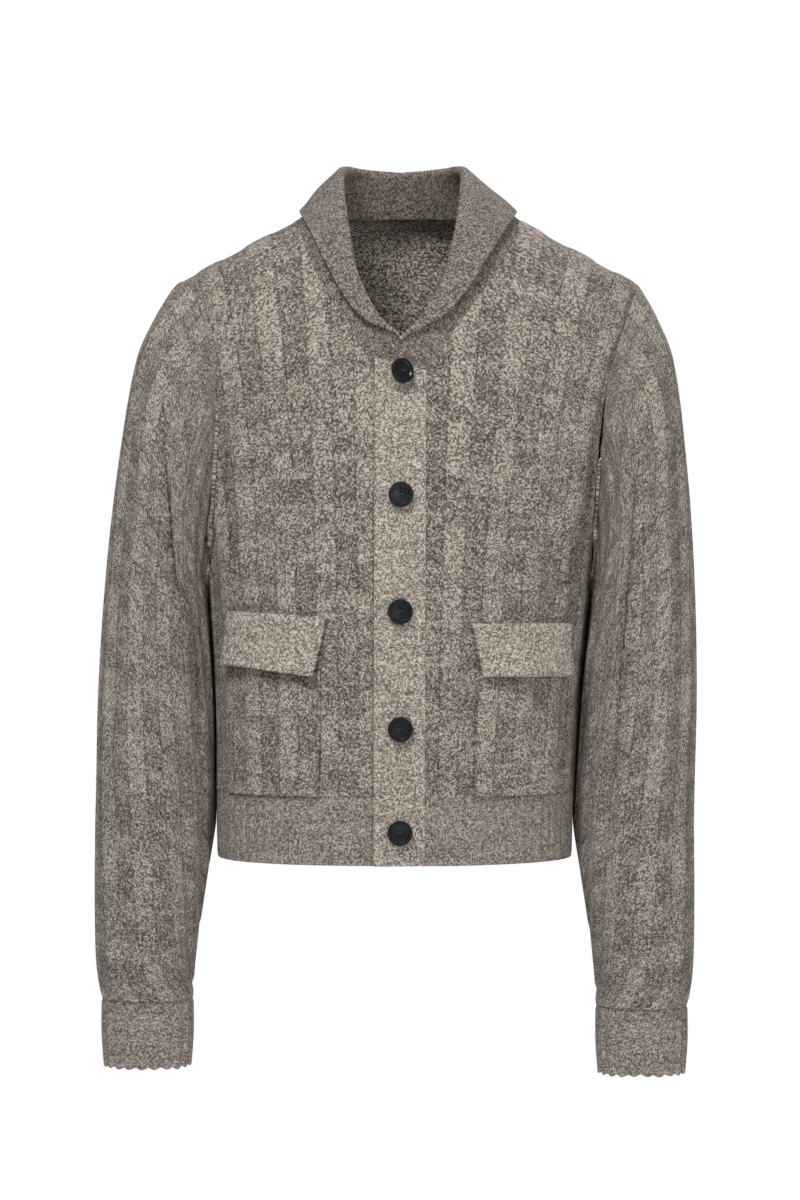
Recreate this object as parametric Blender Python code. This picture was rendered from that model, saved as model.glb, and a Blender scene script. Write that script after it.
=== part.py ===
"""Shawl collar cardigan in its worn, hollow form.

Metres, +Z up, the front faces -Y and the wearer's left is +X. The origin is the middle
of the neck base, level with the high points of the shoulders, where the wearer holds it.
Every cloth piece is one wall through points worked out from the sizes below.
"""
import math

import bmesh
import bpy
from mathutils import Matrix, Vector

# Cloth and seams
WALL = 0.003                 # chunky rib knit
TRIM_WALL = 0.0026           # pockets and flaps
SEAM_GAP = 0.0003            # between two pieces at a seam
LAYER_GAP = 0.0004           # between a piece and what lies on it

# Body
HEM_Z = -0.586
BAND_TOP_Z = -0.525          # where the hem band meets the panels
UNDERARM_Z = -0.350
SECTION_POWER = 2.3          # 2 is an ellipse, more is squarer
PROFILE_POWER = 2.4          # roundness of the chest over the shoulder
BODY_LEVELS = (              # z, half width, half depth
    (HEM_Z, 0.1620, 0.1170),
    (BAND_TOP_Z, 0.1635, 0.1220),
    (-0.440, 0.1665, 0.1265),
    (UNDERARM_Z, 0.1740, 0.1290),
)
CHEST_SPREAD = 0.0660        # growth of the half width from underarm to shoulder
CHEST_SPREAD_EARLY = 0.37    # share of it that grows in line with the height
SHOULDER_SLOPE = 0.533
SHOULDER_ZERO_X = 0.095      # where the shoulder line crosses z = 0
SHOULDER_TIP_ANGLE = 60.0    # degrees round the body section
NECK_SHARE = 0.36            # of the tip angle, at the high point of the shoulder
BACK_NECK_DEPTH = 0.078
BACK_NECK_RISE = 0.013
BACK_NECK_ROOM = 0.0004      # more seam gap where the stand turns up off the panel
LEAN_TOP = 0.0075            # the garment hangs a few millimetres askew
LEAN_PER_METRE = 0.0225
LEAN_LOWEST = -0.005
LEAN_FULL_X = 0.10           # from this far off the middle it leans in full

# Armholes: angle of the armhole line round the body section, in degrees
ARMHOLE_FRONT = {"left": 60.0, "right": 52.0}
ARMHOLE_BACK = {"left": 58.0, "right": 58.0}
ARMHOLE_ROUND = 0.42         # share of the armhole's height that its curve takes
ARMHOLE_ROUND_POWER = 1.3    # how tightly it turns in under the arm
ARMHOLE_TIP_POWER = 5        # how late it turns to the shoulder tip
ARMHOLE_GAP = 1.2 * SEAM_GAP
UNDERARM_CLEAR = 0.0035      # sleeve's start, off the body wall under the arm
UNDERARM_REACH = (0.3, 0.9)  # where that begins and is full, as a cosine round the ring

# Button band, neckline and shawl collar
BAND_HALF = 0.0225
BAND_STEP = WALL + LAYER_GAP
BAND_TOP_RISE = {"left": 0.0100, "right": 0.0040}    # climb of its upper end, seam to edge
NECK_START_Z = -0.150        # the neckline leaves the band here
NECK_SPREAD = 0.640          # sideways run of the neckline for each metre up
NECK_BEND = 3.5              # and how it straightens up
NECK_BEND_HEIGHT = 0.080     # from this height above its start
COLLAR_LAP = 1.7             # times the bands' step, where the collar's halves cross
COLLAR_LAP_SHARE = 0.04      # share along the seam where they cross
COLLAR_FRONT_SHARE = 0.5     # they lap only before this share
COLLAR_END_GAP = 0.0020      # its two ends are drawn back by half of this off the bands
COLLAR_ROOM_SPAN = (0.7, 1.0)   # shares over which the back neck's extra room grows
ROLL_RADIUS = 0.0032         # middle of the wall, round the collar's fold
COLLAR_SECTIONS = (          # share along the seam, roll x, y, z, fall, flare of the leaf
    (0.00, -0.0125, -0.1140, -0.1415, 0.0060, 0.0064),
    (0.04, -0.0010, -0.1165, -0.1255, -0.0015, 0.0064),
    (0.11, 0.0200, -0.1130, -0.1005, 0.0105, 0.0072),
    (0.22, 0.0315, -0.1050, -0.0795, 0.0190, 0.0084),
    (0.33, 0.0395, -0.0960, -0.0605, 0.0255, 0.0088),
    (0.44, 0.0433, -0.0875, -0.0420, 0.0325, 0.0088),
    (0.56, 0.0470, -0.0765, -0.0235, 0.0385, 0.0084),
    (0.67, 0.0500, -0.0610, -0.0055, 0.0430, 0.0080),
    (0.78, 0.0520, -0.0430, 0.0110, 0.0475, 0.0078),
    (0.89, 0.0530, -0.0235, 0.0270, 0.0520, 0.0080),
    (1.00, 0.0530, -0.0020, 0.0390, 0.0560, 0.0085),
    (1.25, 0.0480, 0.0300, 0.0475, 0.0580, 0.0145),
    (1.50, 0.0360, 0.0480, 0.0490, 0.0580, 0.0175),
    (1.75, 0.0195, 0.0585, 0.0490, 0.0580, 0.0195),
    (2.00, 0.0000, 0.0620, 0.0480, 0.0580, 0.0205),
)
FLAT_CURL = 0.05             # a curl under this is drawn flat, in radians
FOLD_SPAN = {"left": (0.00, 0.08), "right": (0.03, 0.09)}    # shares where it turns over

# Sleeves: outer x, outer z, inner x, inner z, half depth of each ring
SLEEVE_RINGS = (
    (0.2300, -0.0940, 0.1815, -0.3530, 0.0850),
    (0.2455, -0.1320, 0.1805, -0.3620, 0.0840),
    (0.2590, -0.2200, 0.1755, -0.3860, 0.0800),
    (0.2685, -0.3200, 0.1710, -0.4200, 0.0750),
    (0.2735, -0.4300, 0.1680, -0.4700, 0.0690),
    (0.2735, -0.5300, 0.1675, -0.5350, 0.0620),
    (0.2740, -0.6300, 0.1785, -0.6300, 0.0540),
    (0.2725, -0.6850, 0.1840, -0.6850, 0.0460),
    (0.2680, -0.7160, 0.1850, -0.7160, 0.0340),
)
SLEEVE_FORWARD = -0.006      # the forearms hang a little forward
CUFF_RINGS = (               # drop, half width, half depth
    (0.000, 0.0410, 0.0320),
    (0.006, 0.0415, 0.0295),
    (0.034, 0.0415, 0.0290),
    (0.062, 0.0395, 0.0290),
)
CUFF_DROP = {"left": 0.007, "right": 0.0}     # the left sleeve hangs lower

# Pockets and flaps, on each front
POCKET_INNER = 0.068
POCKET_OUTER = 0.149
POCKET_TOP_Z = {"left": -0.380, "right": -0.370}
FLAP_TOP_Z = {"left": -0.372, "right": -0.361}
FLAP_TOP = (0.0625, 0.1500)  # inner and outer x of the upper edge
FLAP_FOOT = (0.0715, 0.1500)
FLAP_HEIGHT = 0.047
FLAP_DROOP = {               # at the inner end of the upper edge and of the foot
    "left": (0.0, 0.0),
    "right": (0.0055, 0.0105),
}
FLAP_STAND = 0.0050          # the flap's foot stands off the pocket
PANEL_CHORD_ROOM = 0.0012    # the coarse panel's faces bow less than the true surface
POCKET_CHORD_ROOM = 0.0004   # and so do the pocket's

# Buttons
BUTTON_RADIUS = 0.0110
BUTTON_THICKNESS = 0.0042
BUTTON_RIM = 0.0026
BUTTON_DISH = 0.0011
BUTTON_BACK_INSET = 0.0012   # its back is narrower
BUTTON_SHOULDER = 0.0007     # chamfer at the front of the rim
BUTTON_WAIST = 0.45          # share of the thickness where it is widest
BUTTON_HOLES = 4
BUTTON_HOLE_RADIUS = 0.0010
BUTTON_HOLE_SPREAD = 0.0017
BUTTONS = (                  # z, x, turn about the vertical in degrees, stand off the band
    (-0.1530, 0.0010, 38.0, 0.0075),
    (-0.2600, 0.0010, 0.0, 0.0008),
    (-0.3620, 0.0005, 0.0, 0.0008),
    (-0.4650, 0.0005, 0.0, 0.0008),
    (-0.5560, 0.0000, 0.0, 0.0008),
)

# Steps used to measure slopes on the curves
NORMAL_TURN = 0.002          # radians round the body section
NORMAL_DROP = 0.0004         # metres down the side
NORMAL_CLIMB = 0.1           # degrees of climb to the shoulder
ROLL_STEP = 0.01             # share along the collar
HALVINGS = 40                # to find a point of the neckline
MERGE_DISTANCE = 1e-6

# How finely each piece is drawn
CLOTH_SHARP_ANGLE = 50       # degrees, edges above it are drawn sharp
BUTTON_SHARP_ANGLE = 35
BUTTON_HOLE_SIDES = 8
COLLAR_END_CUTS = ((2, 2), (1, 3), (0, 4))    # row of the neckline, cuts made in it
PANEL_COLUMNS = 11
LOWER_ROWS = 5
RISE_ROWS = 3                # underarm up to the start of the neckline
NECK_ROWS = 9                # start of the neckline up to the shoulder
SLEEVE_ROWS = 15
STAND_STEPS = 3
FOLD_STEPS = 4
FALL_STEPS = 3
BACK_NECK_COLUMNS = 6
BAND_STEPS = 3
TRIM_STEPS = 5
BUTTON_SIDES = 24

SIDES = {"left": 1, "right": -1}
MATERIALS = {                # base colour, roughness
    "rib_knit": ((0.23, 0.20, 0.17, 1.0), 0.92),
    "plain_knit": ((0.27, 0.24, 0.20, 1.0), 0.92),
    "trim_rib": ((0.21, 0.19, 0.16, 1.0), 0.92),
    "button_plastic": ((0.014, 0.016, 0.020, 1.0), 0.28),
}


# ---------------------------------------------------------------- curves and levels

def curve_through(points, knots, t):
    """Point at t on a smooth curve through points placed at rising knots."""
    last = len(knots) - 1
    i = 0
    while i < last - 1 and t > knots[i + 1]:
        i += 1

    def slope(k):
        a = max(k - 1, 0)
        b = min(k + 1, last)
        return (points[b] - points[a]) / (knots[b] - knots[a])

    span = knots[i + 1] - knots[i]
    s = (t - knots[i]) / span
    rise = s * s * (3.0 - 2.0 * s)
    leave = s * (1.0 - s) ** 2 * span
    arrive = -s * s * (1.0 - s) * span
    return (points[i] * (1.0 - rise) + points[i + 1] * rise
            + slope(i) * leave + slope(i + 1) * arrive)


def chord_knots(points):
    knots = [0.0]
    for a, b in zip(points, points[1:]):
        knots.append(knots[-1] + (b - a).length)
    return knots


def smooth_step(t):
    t = min(max(t, 0.0), 1.0)
    return t * t * (3.0 - 2.0 * t)


def section(theta):
    """Sideways and forward share of the body section at an angle from the front."""
    power = 2.0 / SECTION_POWER
    across = math.copysign(abs(math.sin(theta)) ** power, math.sin(theta))
    forward = math.copysign(abs(math.cos(theta)) ** power, math.cos(theta))
    return across, forward


def lean(z):
    return max(LEAN_LOWEST, LEAN_TOP + LEAN_PER_METRE * z)


def leaned(point, side):
    """The straight half garment's point, put on its side and leaned with its height."""
    share = smooth_step(abs(point.x) / LEAN_FULL_X)
    return Vector((side * point.x + lean(point.z) * share, point.y, point.z))


# ---------------------------------------------------------------- the body's surface

def shoulder_z(x):
    return -SHOULDER_SLOPE * (x - SHOULDER_ZERO_X)


def chest_half(rise):
    """Half width at a share of the height from underarm to shoulder."""
    start = BODY_LEVELS[-1][1]
    grown = CHEST_SPREAD_EARLY * rise + (1.0 - CHEST_SPREAD_EARLY) * rise * rise
    return start + CHEST_SPREAD * grown


NECK_HALF = chest_half(1.0) * section(math.radians(SHOULDER_TIP_ANGLE * NECK_SHARE))[0]


def top_line(x, theta):
    """y and z of the upper end of the body's line at x: shoulder seam or back neck."""
    x = abs(x)
    if theta <= math.pi / 2 or x >= NECK_HALF:
        return 0.0, shoulder_z(x)
    share = math.sqrt(1.0 - (x / NECK_HALF) ** 2)
    return BACK_NECK_DEPTH * share, shoulder_z(NECK_HALF) + BACK_NECK_RISE * share


def level_sizes(z):
    knots = [row[0] for row in BODY_LEVELS]
    rows = [Vector(row[1:]) for row in BODY_LEVELS]
    return curve_through(rows, knots, min(max(z, HEM_Z), UNDERARM_Z))


def body_point(theta, height):
    """Outer face of the straight half body. height is z below the underarm, and above
    it 0 to 90, an angle that climbs from the underarm to the shoulder."""
    across, forward = section(theta)
    if height < 0.0:
        half, depth = level_sizes(height)
        return Vector((half * across, -depth * forward, height))
    power = 2.0 / PROFILE_POWER
    angle = math.radians(min(height, 90.0))
    rise = math.sin(angle) ** power
    reach = max(math.cos(angle), 0.0) ** power
    depth = BODY_LEVELS[-1][2]
    x = chest_half(rise) * across
    top_y, top_z = top_line(x, theta)
    return Vector((x, top_y + (-depth * forward - top_y) * reach,
                   UNDERARM_Z + (top_z - UNDERARM_Z) * rise))


def front_angle(x, half):
    """Angle round the section that has this x."""
    return math.asin(min(abs(x) / half, 1.0) ** (SECTION_POWER / 2.0))


def climb_at(x, z):
    """The climb angle of the front point at x and z above the underarm."""
    rise = (z - UNDERARM_Z) / (shoulder_z(abs(x)) - UNDERARM_Z)
    return math.degrees(math.asin(min(rise, 1.0) ** (PROFILE_POWER / 2.0)))


def front_place(x, z):
    """Angle and height that body_point needs for the front point at x and z."""
    if z <= UNDERARM_Z:
        return front_angle(x, level_sizes(z)[0]), z
    climb = climb_at(x, z)
    rise = math.sin(math.radians(climb)) ** (2.0 / PROFILE_POWER)
    return front_angle(x, chest_half(rise)), climb


def body_normal(theta, height):
    """Unit normal of the body's surface, pointing away from the wearer."""
    if height < 0.0:
        lower, upper = height - NORMAL_DROP, min(height + NORMAL_DROP, -MERGE_DISTANCE)
    else:
        lower, upper = max(height - NORMAL_CLIMB, 0.0), min(height + NORMAL_CLIMB, 90.0)
    along = body_point(theta + NORMAL_TURN, height) - body_point(theta - NORMAL_TURN, height)
    up = body_point(theta, upper) - body_point(theta, lower)
    return along.cross(up).normalized()


# ---------------------------------------------------------------- rows of the panels

NECK_START = climb_at(BAND_HALF, NECK_START_Z)
LOWER_HEIGHTS = [BAND_TOP_Z + (UNDERARM_Z - BAND_TOP_Z) * i / LOWER_ROWS for i in range(LOWER_ROWS)]
RISE_HEIGHTS = [NECK_START * i / RISE_ROWS for i in range(RISE_ROWS)]
NECK_HEIGHTS = [NECK_START + (90.0 - NECK_START) * i / NECK_ROWS for i in range(NECK_ROWS + 1)]
ARM_HEIGHTS = RISE_HEIGHTS + NECK_HEIGHTS
PANEL_HEIGHTS = LOWER_HEIGHTS + ARM_HEIGHTS


def armhole_angle(middle, height):
    """Angle of the armhole line at a climb angle; the side seam below the underarm."""
    if height < 0.0:
        return math.pi / 2
    share = height / 90.0
    bend = (1.0 - math.sqrt(min(1.0, share / ARMHOLE_ROUND))) ** ARMHOLE_ROUND_POWER
    tip = share ** ARMHOLE_TIP_POWER
    return math.radians(middle + (90.0 - middle) * bend + (SHOULDER_TIP_ANGLE - middle) * tip)


def neckline_x(z):
    up = z - NECK_START_Z
    bend = max(up - NECK_BEND_HEIGHT, 0.0)
    return BAND_HALF + NECK_SPREAD * up - NECK_BEND * bend * bend


def neckline_angle(height):
    """Angle of the front panel's inner edge: the band's seam, then the neckline."""
    if height < 0.0:
        return front_angle(BAND_HALF, level_sizes(height)[0])
    rise = math.sin(math.radians(height)) ** (2.0 / PROFILE_POWER)
    half = chest_half(rise)
    if height <= NECK_START + MERGE_DISTANCE:
        return front_angle(BAND_HALF, half)
    if height > 89.999:
        return math.radians(SHOULDER_TIP_ANGLE * NECK_SHARE)
    low = BAND_HALF
    high = NECK_HALF
    for _ in range(HALVINGS):
        x = (low + high) / 2
        z = UNDERARM_Z + (shoulder_z(x) - UNDERARM_Z) * rise
        if x < neckline_x(z):
            low = x
        else:
            high = x
    return front_angle(low, half)


def front_grid(side_name):
    """Points and normals of a front, rows from the hem band to the shoulder."""
    points = []
    normals = []
    for height in PANEL_HEIGHTS:
        inner = neckline_angle(height)
        outer = armhole_angle(ARMHOLE_FRONT[side_name], height)
        angles = [inner + (outer - inner) * i / PANEL_COLUMNS for i in range(PANEL_COLUMNS + 1)]
        points.append([body_point(angle, height) for angle in angles])
        normals.append([body_normal(angle, height) for angle in angles])
    return points, normals


def back_shares():
    """Columns from the centre back to the side, one of them at the neck's corner."""
    wide = PANEL_COLUMNS - BACK_NECK_COLUMNS
    neck = [NECK_SHARE * i / BACK_NECK_COLUMNS for i in range(BACK_NECK_COLUMNS)]
    return neck + [NECK_SHARE + (1.0 - NECK_SHARE) * i / wide for i in range(wide + 1)]


def back_half(side_name):
    points = []
    normals = []
    for height in PANEL_HEIGHTS:
        outer = math.pi - armhole_angle(ARMHOLE_BACK[side_name], height)
        angles = [math.pi - (math.pi - outer) * share for share in back_shares()]
        points.append([body_point(angle, height) for angle in angles])
        normals.append([body_normal(angle, height) for angle in angles])
    return points, normals


def on_side(points, normals, side):
    """Both grids put on one side of the garment."""
    placed = [[leaned(p, side) for p in row] for row in points]
    turned = [[Vector((side * n.x, n.y, n.z)) for n in row] for row in normals]
    return placed, turned


# ---------------------------------------------------------------- making solids

def pulled_in(points, gap, edges="nsew"):
    """The grid with its edges drawn back by half the seam gap."""
    moved = [[p.copy() for p in row] for row in points]
    last_row = len(points) - 1
    last_column = len(points[0]) - 1
    for c in range(last_column + 1):
        if "s" in edges:
            moved[0][c] += (points[1][c] - points[0][c]).normalized() * gap / 2
        if "n" in edges:
            moved[last_row][c] += (points[-2][c] - points[-1][c]).normalized() * gap / 2
    for r in range(last_row + 1):
        if "w" in edges:
            moved[r][0] += (points[r][1] - points[r][0]).normalized() * gap / 2
        if "e" in edges:
            moved[r][last_column] += (points[r][-2] - points[r][-1]).normalized() * gap / 2
    return moved


def wall_object(name, material, points, normals, wall, tube=False):
    """A closed wall: points are its outer face, and it is wall thick inwards."""
    mesh = bpy.data.meshes.new(name)
    bm = bmesh.new()
    rows = len(points)
    columns = len(points[0])
    outer = [[bm.verts.new(p) for p in row] for row in points]
    inner = [[bm.verts.new(p - n * wall) for p, n in zip(row, normal_row)]
             for row, normal_row in zip(points, normals)]
    spans = columns if tube else columns - 1
    for r in range(rows - 1):
        for c in range(spans):
            d = (c + 1) % columns
            bm.faces.new((outer[r][c], outer[r][d], outer[r + 1][d], outer[r + 1][c]))
            bm.faces.new((inner[r][d], inner[r][c], inner[r + 1][c], inner[r + 1][d]))
    for c in range(spans):
        d = (c + 1) % columns
        bm.faces.new((outer[0][d], outer[0][c], inner[0][c], inner[0][d]))
        bm.faces.new((outer[-1][c], outer[-1][d], inner[-1][d], inner[-1][c]))
    if not tube:
        for r in range(rows - 1):
            bm.faces.new((outer[r][0], outer[r + 1][0], inner[r + 1][0], inner[r][0]))
            bm.faces.new((outer[r + 1][-1], outer[r][-1], inner[r][-1], inner[r + 1][-1]))
    if bm.calc_volume(signed=True) < 0.0:
        bmesh.ops.reverse_faces(bm, faces=bm.faces[:])
    bmesh.ops.triangulate(bm, faces=bm.faces[:])
    bm.to_mesh(mesh)
    bm.free()
    mesh.shade_smooth()
    mesh.set_sharp_from_angle(angle=math.radians(CLOTH_SHARP_ANGLE))
    mesh.materials.append(bpy.data.materials[material])
    placed = bpy.data.objects.new(name, mesh)
    bpy.context.scene.collection.objects.link(placed)
    return placed


def grid_normals(points, tube=False):
    """Normals of a grid from its neighbours, rows then columns."""
    rows = len(points)
    columns = len(points[0])
    normals = []
    for r in range(rows):
        row = []
        for c in range(columns):
            if tube:
                left = points[r][(c - 1) % columns]
                right = points[r][(c + 1) % columns]
            else:
                left = points[r][max(c - 1, 0)]
                right = points[r][min(c + 1, columns - 1)]
            lower = points[max(r - 1, 0)][c]
            upper = points[min(r + 1, rows - 1)][c]
            row.append((right - left).cross(upper - lower).normalized())
        normals.append(row)
    return normals


# ---------------------------------------------------------------- body pieces

def build_fronts():
    for side_name, side in SIDES.items():
        points, normals = on_side(*front_grid(side_name), side)
        wall_object("front_" + side_name, "rib_knit", pulled_in(points, SEAM_GAP), normals, WALL)


def whole_back(half_points):
    """Rows across the whole back, from two mirrored halves that share the middle."""
    left, right = half_points
    return [list(reversed(r[1:])) + l for l, r in zip(left, right)]


def build_back():
    halves = [on_side(*back_half(name), side) for name, side in SIDES.items()]
    points = whole_back([half[0] for half in halves])
    normals = whole_back([half[1] for half in halves])
    wall_object("back", "rib_knit", pulled_in(points, SEAM_GAP), normals, WALL)


def hem_rows(angles_at):
    heights = (HEM_Z, (HEM_Z + BAND_TOP_Z) / 2, BAND_TOP_Z)
    points = [[body_point(a, z) for a in angles_at(z)] for z in heights]
    normals = [[body_normal(a, z) for a in angles_at(z)] for z in heights]
    return points, normals


def build_hem_bands():
    def front_angles(z):
        inner = neckline_angle(z)
        step = (math.pi / 2 - inner) / PANEL_COLUMNS
        return [inner + step * i for i in range(PANEL_COLUMNS + 1)]

    def back_angles(z):
        return [math.pi - math.pi / 2 * share for share in back_shares()]

    for side_name, side in SIDES.items():
        points, normals = on_side(*hem_rows(front_angles), side)
        wall_object("hem_band_" + side_name, "trim_rib",
                    pulled_in(points, SEAM_GAP, "new"), normals, WALL)
    halves = [on_side(*hem_rows(back_angles), side) for side in SIDES.values()]
    points = whole_back([half[0] for half in halves])
    normals = whole_back([half[1] for half in halves])
    wall_object("hem_band_back", "trim_rib", pulled_in(points, SEAM_GAP, "new"), normals, WALL)


# ---------------------------------------------------------------- sleeves and cuffs

def armhole_loop(side_name):
    """Armhole points and body normals: shoulder tip, down the front, up the back."""
    front = [(armhole_angle(ARMHOLE_FRONT[side_name], h), h) for h in reversed(ARM_HEIGHTS)]
    back = [(math.pi - armhole_angle(ARMHOLE_BACK[side_name], h), h) for h in ARM_HEIGHTS]
    places = front + back[1:-1]
    points = [body_point(*place) for place in places]
    normals = [body_normal(*place) for place in places]
    return points, normals, ring_angles()


def ring_angles():
    """Where each armhole point goes round the sleeve: 0 outside, 90 front, 180 inside."""
    front = [180.0 - 2.0 * h for h in reversed(ARM_HEIGHTS)]
    back = [180.0 + 2.0 * h for h in ARM_HEIGHTS]
    return [math.radians(angle) for angle in front + back[1:-1]]


def ring_point(outer, inner, depth, forward, angle):
    middle = (outer + inner) / 2
    reach = (outer - inner) / 2
    return (middle + reach * math.cos(angle)
            + Vector((0.0, forward - depth * math.sin(angle), 0.0)))


def under_arm(angle):
    """0 round the top of the ring and 1 under the arm."""
    begin, full = UNDERARM_REACH
    return smooth_step((math.cos(math.pi - angle) - begin) / (full - begin))


def sleeve_grid(side_name):
    """Rows from the armhole to the cuff, and the body's normals at the armhole."""
    loop, loop_normals, angles = armhole_loop(side_name)
    meridians = []
    for start, normal, angle in zip(loop, loop_normals, angles):
        line = [start]
        for i, row in enumerate(SLEEVE_RINGS):
            outer_x, outer_z, inner_x, inner_z, depth = row
            share = (i + 1) / len(SLEEVE_RINGS)
            drop = CUFF_DROP[side_name] * smooth_step(share * 2.0 - 1.0)
            outer = Vector((outer_x, 0.0, outer_z - drop))
            inner = Vector((inner_x, 0.0, inner_z - drop))
            line.append(ring_point(outer, inner, depth, SLEEVE_FORWARD * share, angle))
        away = (line[1] - start).normalized()
        line[0] = start + away * ARMHOLE_GAP + normal * UNDERARM_CLEAR * under_arm(angle)
        meridians.append(line)
    rows = []
    for r in range(SLEEVE_ROWS + 1):
        share = r / SLEEVE_ROWS
        ring = []
        for line in meridians:
            knots = chord_knots(line)
            ring.append(curve_through(line, knots, knots[-1] * share))
        rows.append(ring)
    return rows, loop_normals, angles


def build_sleeves():
    for side_name, side in SIDES.items():
        rows, loop_normals, angles = sleeve_grid(side_name)
        normals = grid_normals(rows, tube=True)
        half_way = len(rows) // 2
        middle = sum(rows[half_way], Vector()) / len(rows[half_way])
        if normals[half_way][0].dot(rows[half_way][0] - middle) < 0.0:
            normals = [[-n for n in row] for row in normals]
        for c, angle in enumerate(angles):
            under = under_arm(angle)
            normals[0][c] = (loop_normals[c] * (1.0 - under) + normals[0][c] * under).normalized()
        points, normals = on_side(rows, normals, side)
        wall_object("sleeve_" + side_name, "rib_knit", points, normals, WALL, tube=True)


def build_cuffs():
    for side_name, side in SIDES.items():
        outer_x, top_z, inner_x, _, _ = SLEEVE_RINGS[-1]
        top_z -= CUFF_DROP[side_name]
        rows = []
        for drop, half, depth in CUFF_RINGS:
            middle = Vector(((outer_x + inner_x) / 2, 0.0, top_z - SEAM_GAP - drop))
            reach = Vector((half, 0.0, 0.0))
            rows.append([ring_point(middle + reach, middle - reach, depth, SLEEVE_FORWARD, angle)
                         for angle in ring_angles()])
        normals = [[Vector((math.cos(a), -math.sin(a), 0.0)) for a in ring_angles()]
                   for _ in CUFF_RINGS]
        points, normals = on_side(rows, normals, side)
        wall_object("cuff_" + side_name, "trim_rib", points, normals, WALL, tube=True)


# ---------------------------------------------------------------- bands and collar

def band_lift(side_name, x):
    """How far a band or collar stands in front of the body where the two bands lap.
    x counts from the wearer's middle towards the piece's own side."""
    lap = min(max((BAND_HALF - x) / (2 * BAND_HALF), 0.0), 1.0)
    return BAND_STEP * lap if side_name == "left" else -BAND_STEP * lap


def build_bands():
    xs = [BAND_HALF - 2 * BAND_HALF * i / BAND_STEPS for i in range(BAND_STEPS + 1)]
    low_heights = [HEM_Z, (HEM_Z + BAND_TOP_Z) / 2] + LOWER_HEIGHTS
    for side_name, side in SIDES.items():
        points = []
        normals = []
        for height in low_heights + RISE_HEIGHTS + [NECK_START]:
            row = []
            normal_row = []
            seam = body_point(neckline_angle(height), height)
            rise = BAND_TOP_RISE[side_name] if height == NECK_START else 0.0
            for i, x in enumerate(xs):
                theta, place = front_place(x, min(seam.z, NECK_START_Z) + rise * i / BAND_STEPS)
                point = body_point(theta, place)
                normal = body_normal(theta, place)
                point.x = x
                normal.x *= math.copysign(1.0, x)
                row.append(point + normal * band_lift(side_name, x))
                normal_row.append(normal)
            points.append(row)
            normals.append(normal_row)
        points, normals = on_side(points, normals, side)
        wall_object("button_band_" + side_name, "plain_knit",
                    pulled_in(points, SEAM_GAP, "nw"), normals, WALL)


def collar_stations():
    """Share, angle and climb along one half of the neckline, from the band to the back."""
    heights = list(NECK_HEIGHTS)
    for i, cuts in COLLAR_END_CUTS:
        step = (NECK_HEIGHTS[i + 1] - NECK_HEIGHTS[i]) / cuts
        heights[i + 1:i + 1] = [NECK_HEIGHTS[i] + step * k for k in range(1, cuts)]
    rise = 90.0 - NECK_START
    stations = [((h - NECK_START) / rise, neckline_angle(h), h) for h in heights]
    corner = math.radians(SHOULDER_TIP_ANGLE * NECK_SHARE)
    for i in range(1, BACK_NECK_COLUMNS + 1):
        share = i / BACK_NECK_COLUMNS
        stations.append((1.0 + share, math.pi - corner * (1.0 - share), 90.0))
    return stations


def seam_way(points, i):
    """Direction along the seam at a point, level across the back at its end."""
    if i == len(points) - 1:
        return Vector((-1.0, 0.0, 0.0))
    return (points[i + 1] - points[max(i - 1, 0)]).normalized()


def collar_row(share):
    """Roll point, roll direction, fall and flare at a share along the seam."""
    knots = [row[0] for row in COLLAR_SECTIONS]
    rolls = [Vector(row[1:4]) for row in COLLAR_SECTIONS]
    widths = [Vector(row[4:]) for row in COLLAR_SECTIONS]
    roll = curve_through(rolls, knots, share)
    ahead = curve_through(rolls, knots, min(share + ROLL_STEP, 2.0))
    behind = curve_through(rolls, knots, max(share - ROLL_STEP, 0.0))
    fall, flare = curve_through(widths, knots, share)
    direction = ahead - behind
    if share > 2.0 - ROLL_STEP:
        direction = Vector((-1.0, 0.0, 0.0))
    return roll, direction.normalized(), fall, flare


def collar_section(side_name, share, seam, normal, way):
    """One cross section of the strip, middle of the wall, from the seam to the leaf."""
    roll, roll_way, fall, flare = collar_row(share)
    if share < COLLAR_FRONT_SHARE:
        lap = 1.0 + (COLLAR_LAP - 1.0) * smooth_step(share / COLLAR_LAP_SHARE)
        roll.y -= band_lift(side_name, roll.x) * lap
    start = seam - normal * WALL / 2
    along = (roll - start).normalized()
    out = roll_way.cross(along).normalized()
    off_panel = normal.cross(way)
    begin, full = COLLAR_ROOM_SPAN
    room = SEAM_GAP + BACK_NECK_ROOM * smooth_step((share - begin) / (full - begin))
    start += off_panel * (room + WALL / 2 * abs(out.dot(off_panel)))
    bend = roll - along * ROLL_RADIUS
    stand = [start.lerp(bend, i / STAND_STEPS) for i in range(STAND_STEPS)]
    begin, full = FOLD_SPAN[side_name]
    turned = smooth_step((share - begin) / (full - begin))
    curl = math.pi * turned
    arc = ROLL_RADIUS * math.pi
    width = arc + fall - ROLL_RADIUS

    def past_bend(run):
        """The strip's middle at a run of cloth past the bend: a curl, then the leaf."""
        curled = min(run, arc)
        angle = curl * curled / arc
        if curl < FLAT_CURL:
            return bend + along * run
        radius = arc / curl
        point = bend + along * radius * math.sin(angle) + out * radius * (1.0 - math.cos(angle))
        if run > arc:
            heading = along * math.cos(curl) + out * math.sin(curl)
            spread = (flare - 2.0 * ROLL_RADIUS) * turned * (run - arc) / (width - arc)
            point += heading * (run - arc) + out * spread
        return point

    curled = min(arc, width / 2)
    runs = [curled * i / FOLD_STEPS for i in range(FOLD_STEPS)]
    runs += [curled + (width - curled) * i / FALL_STEPS for i in range(FALL_STEPS + 1)]
    return stand + [past_bend(run) for run in runs]


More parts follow.
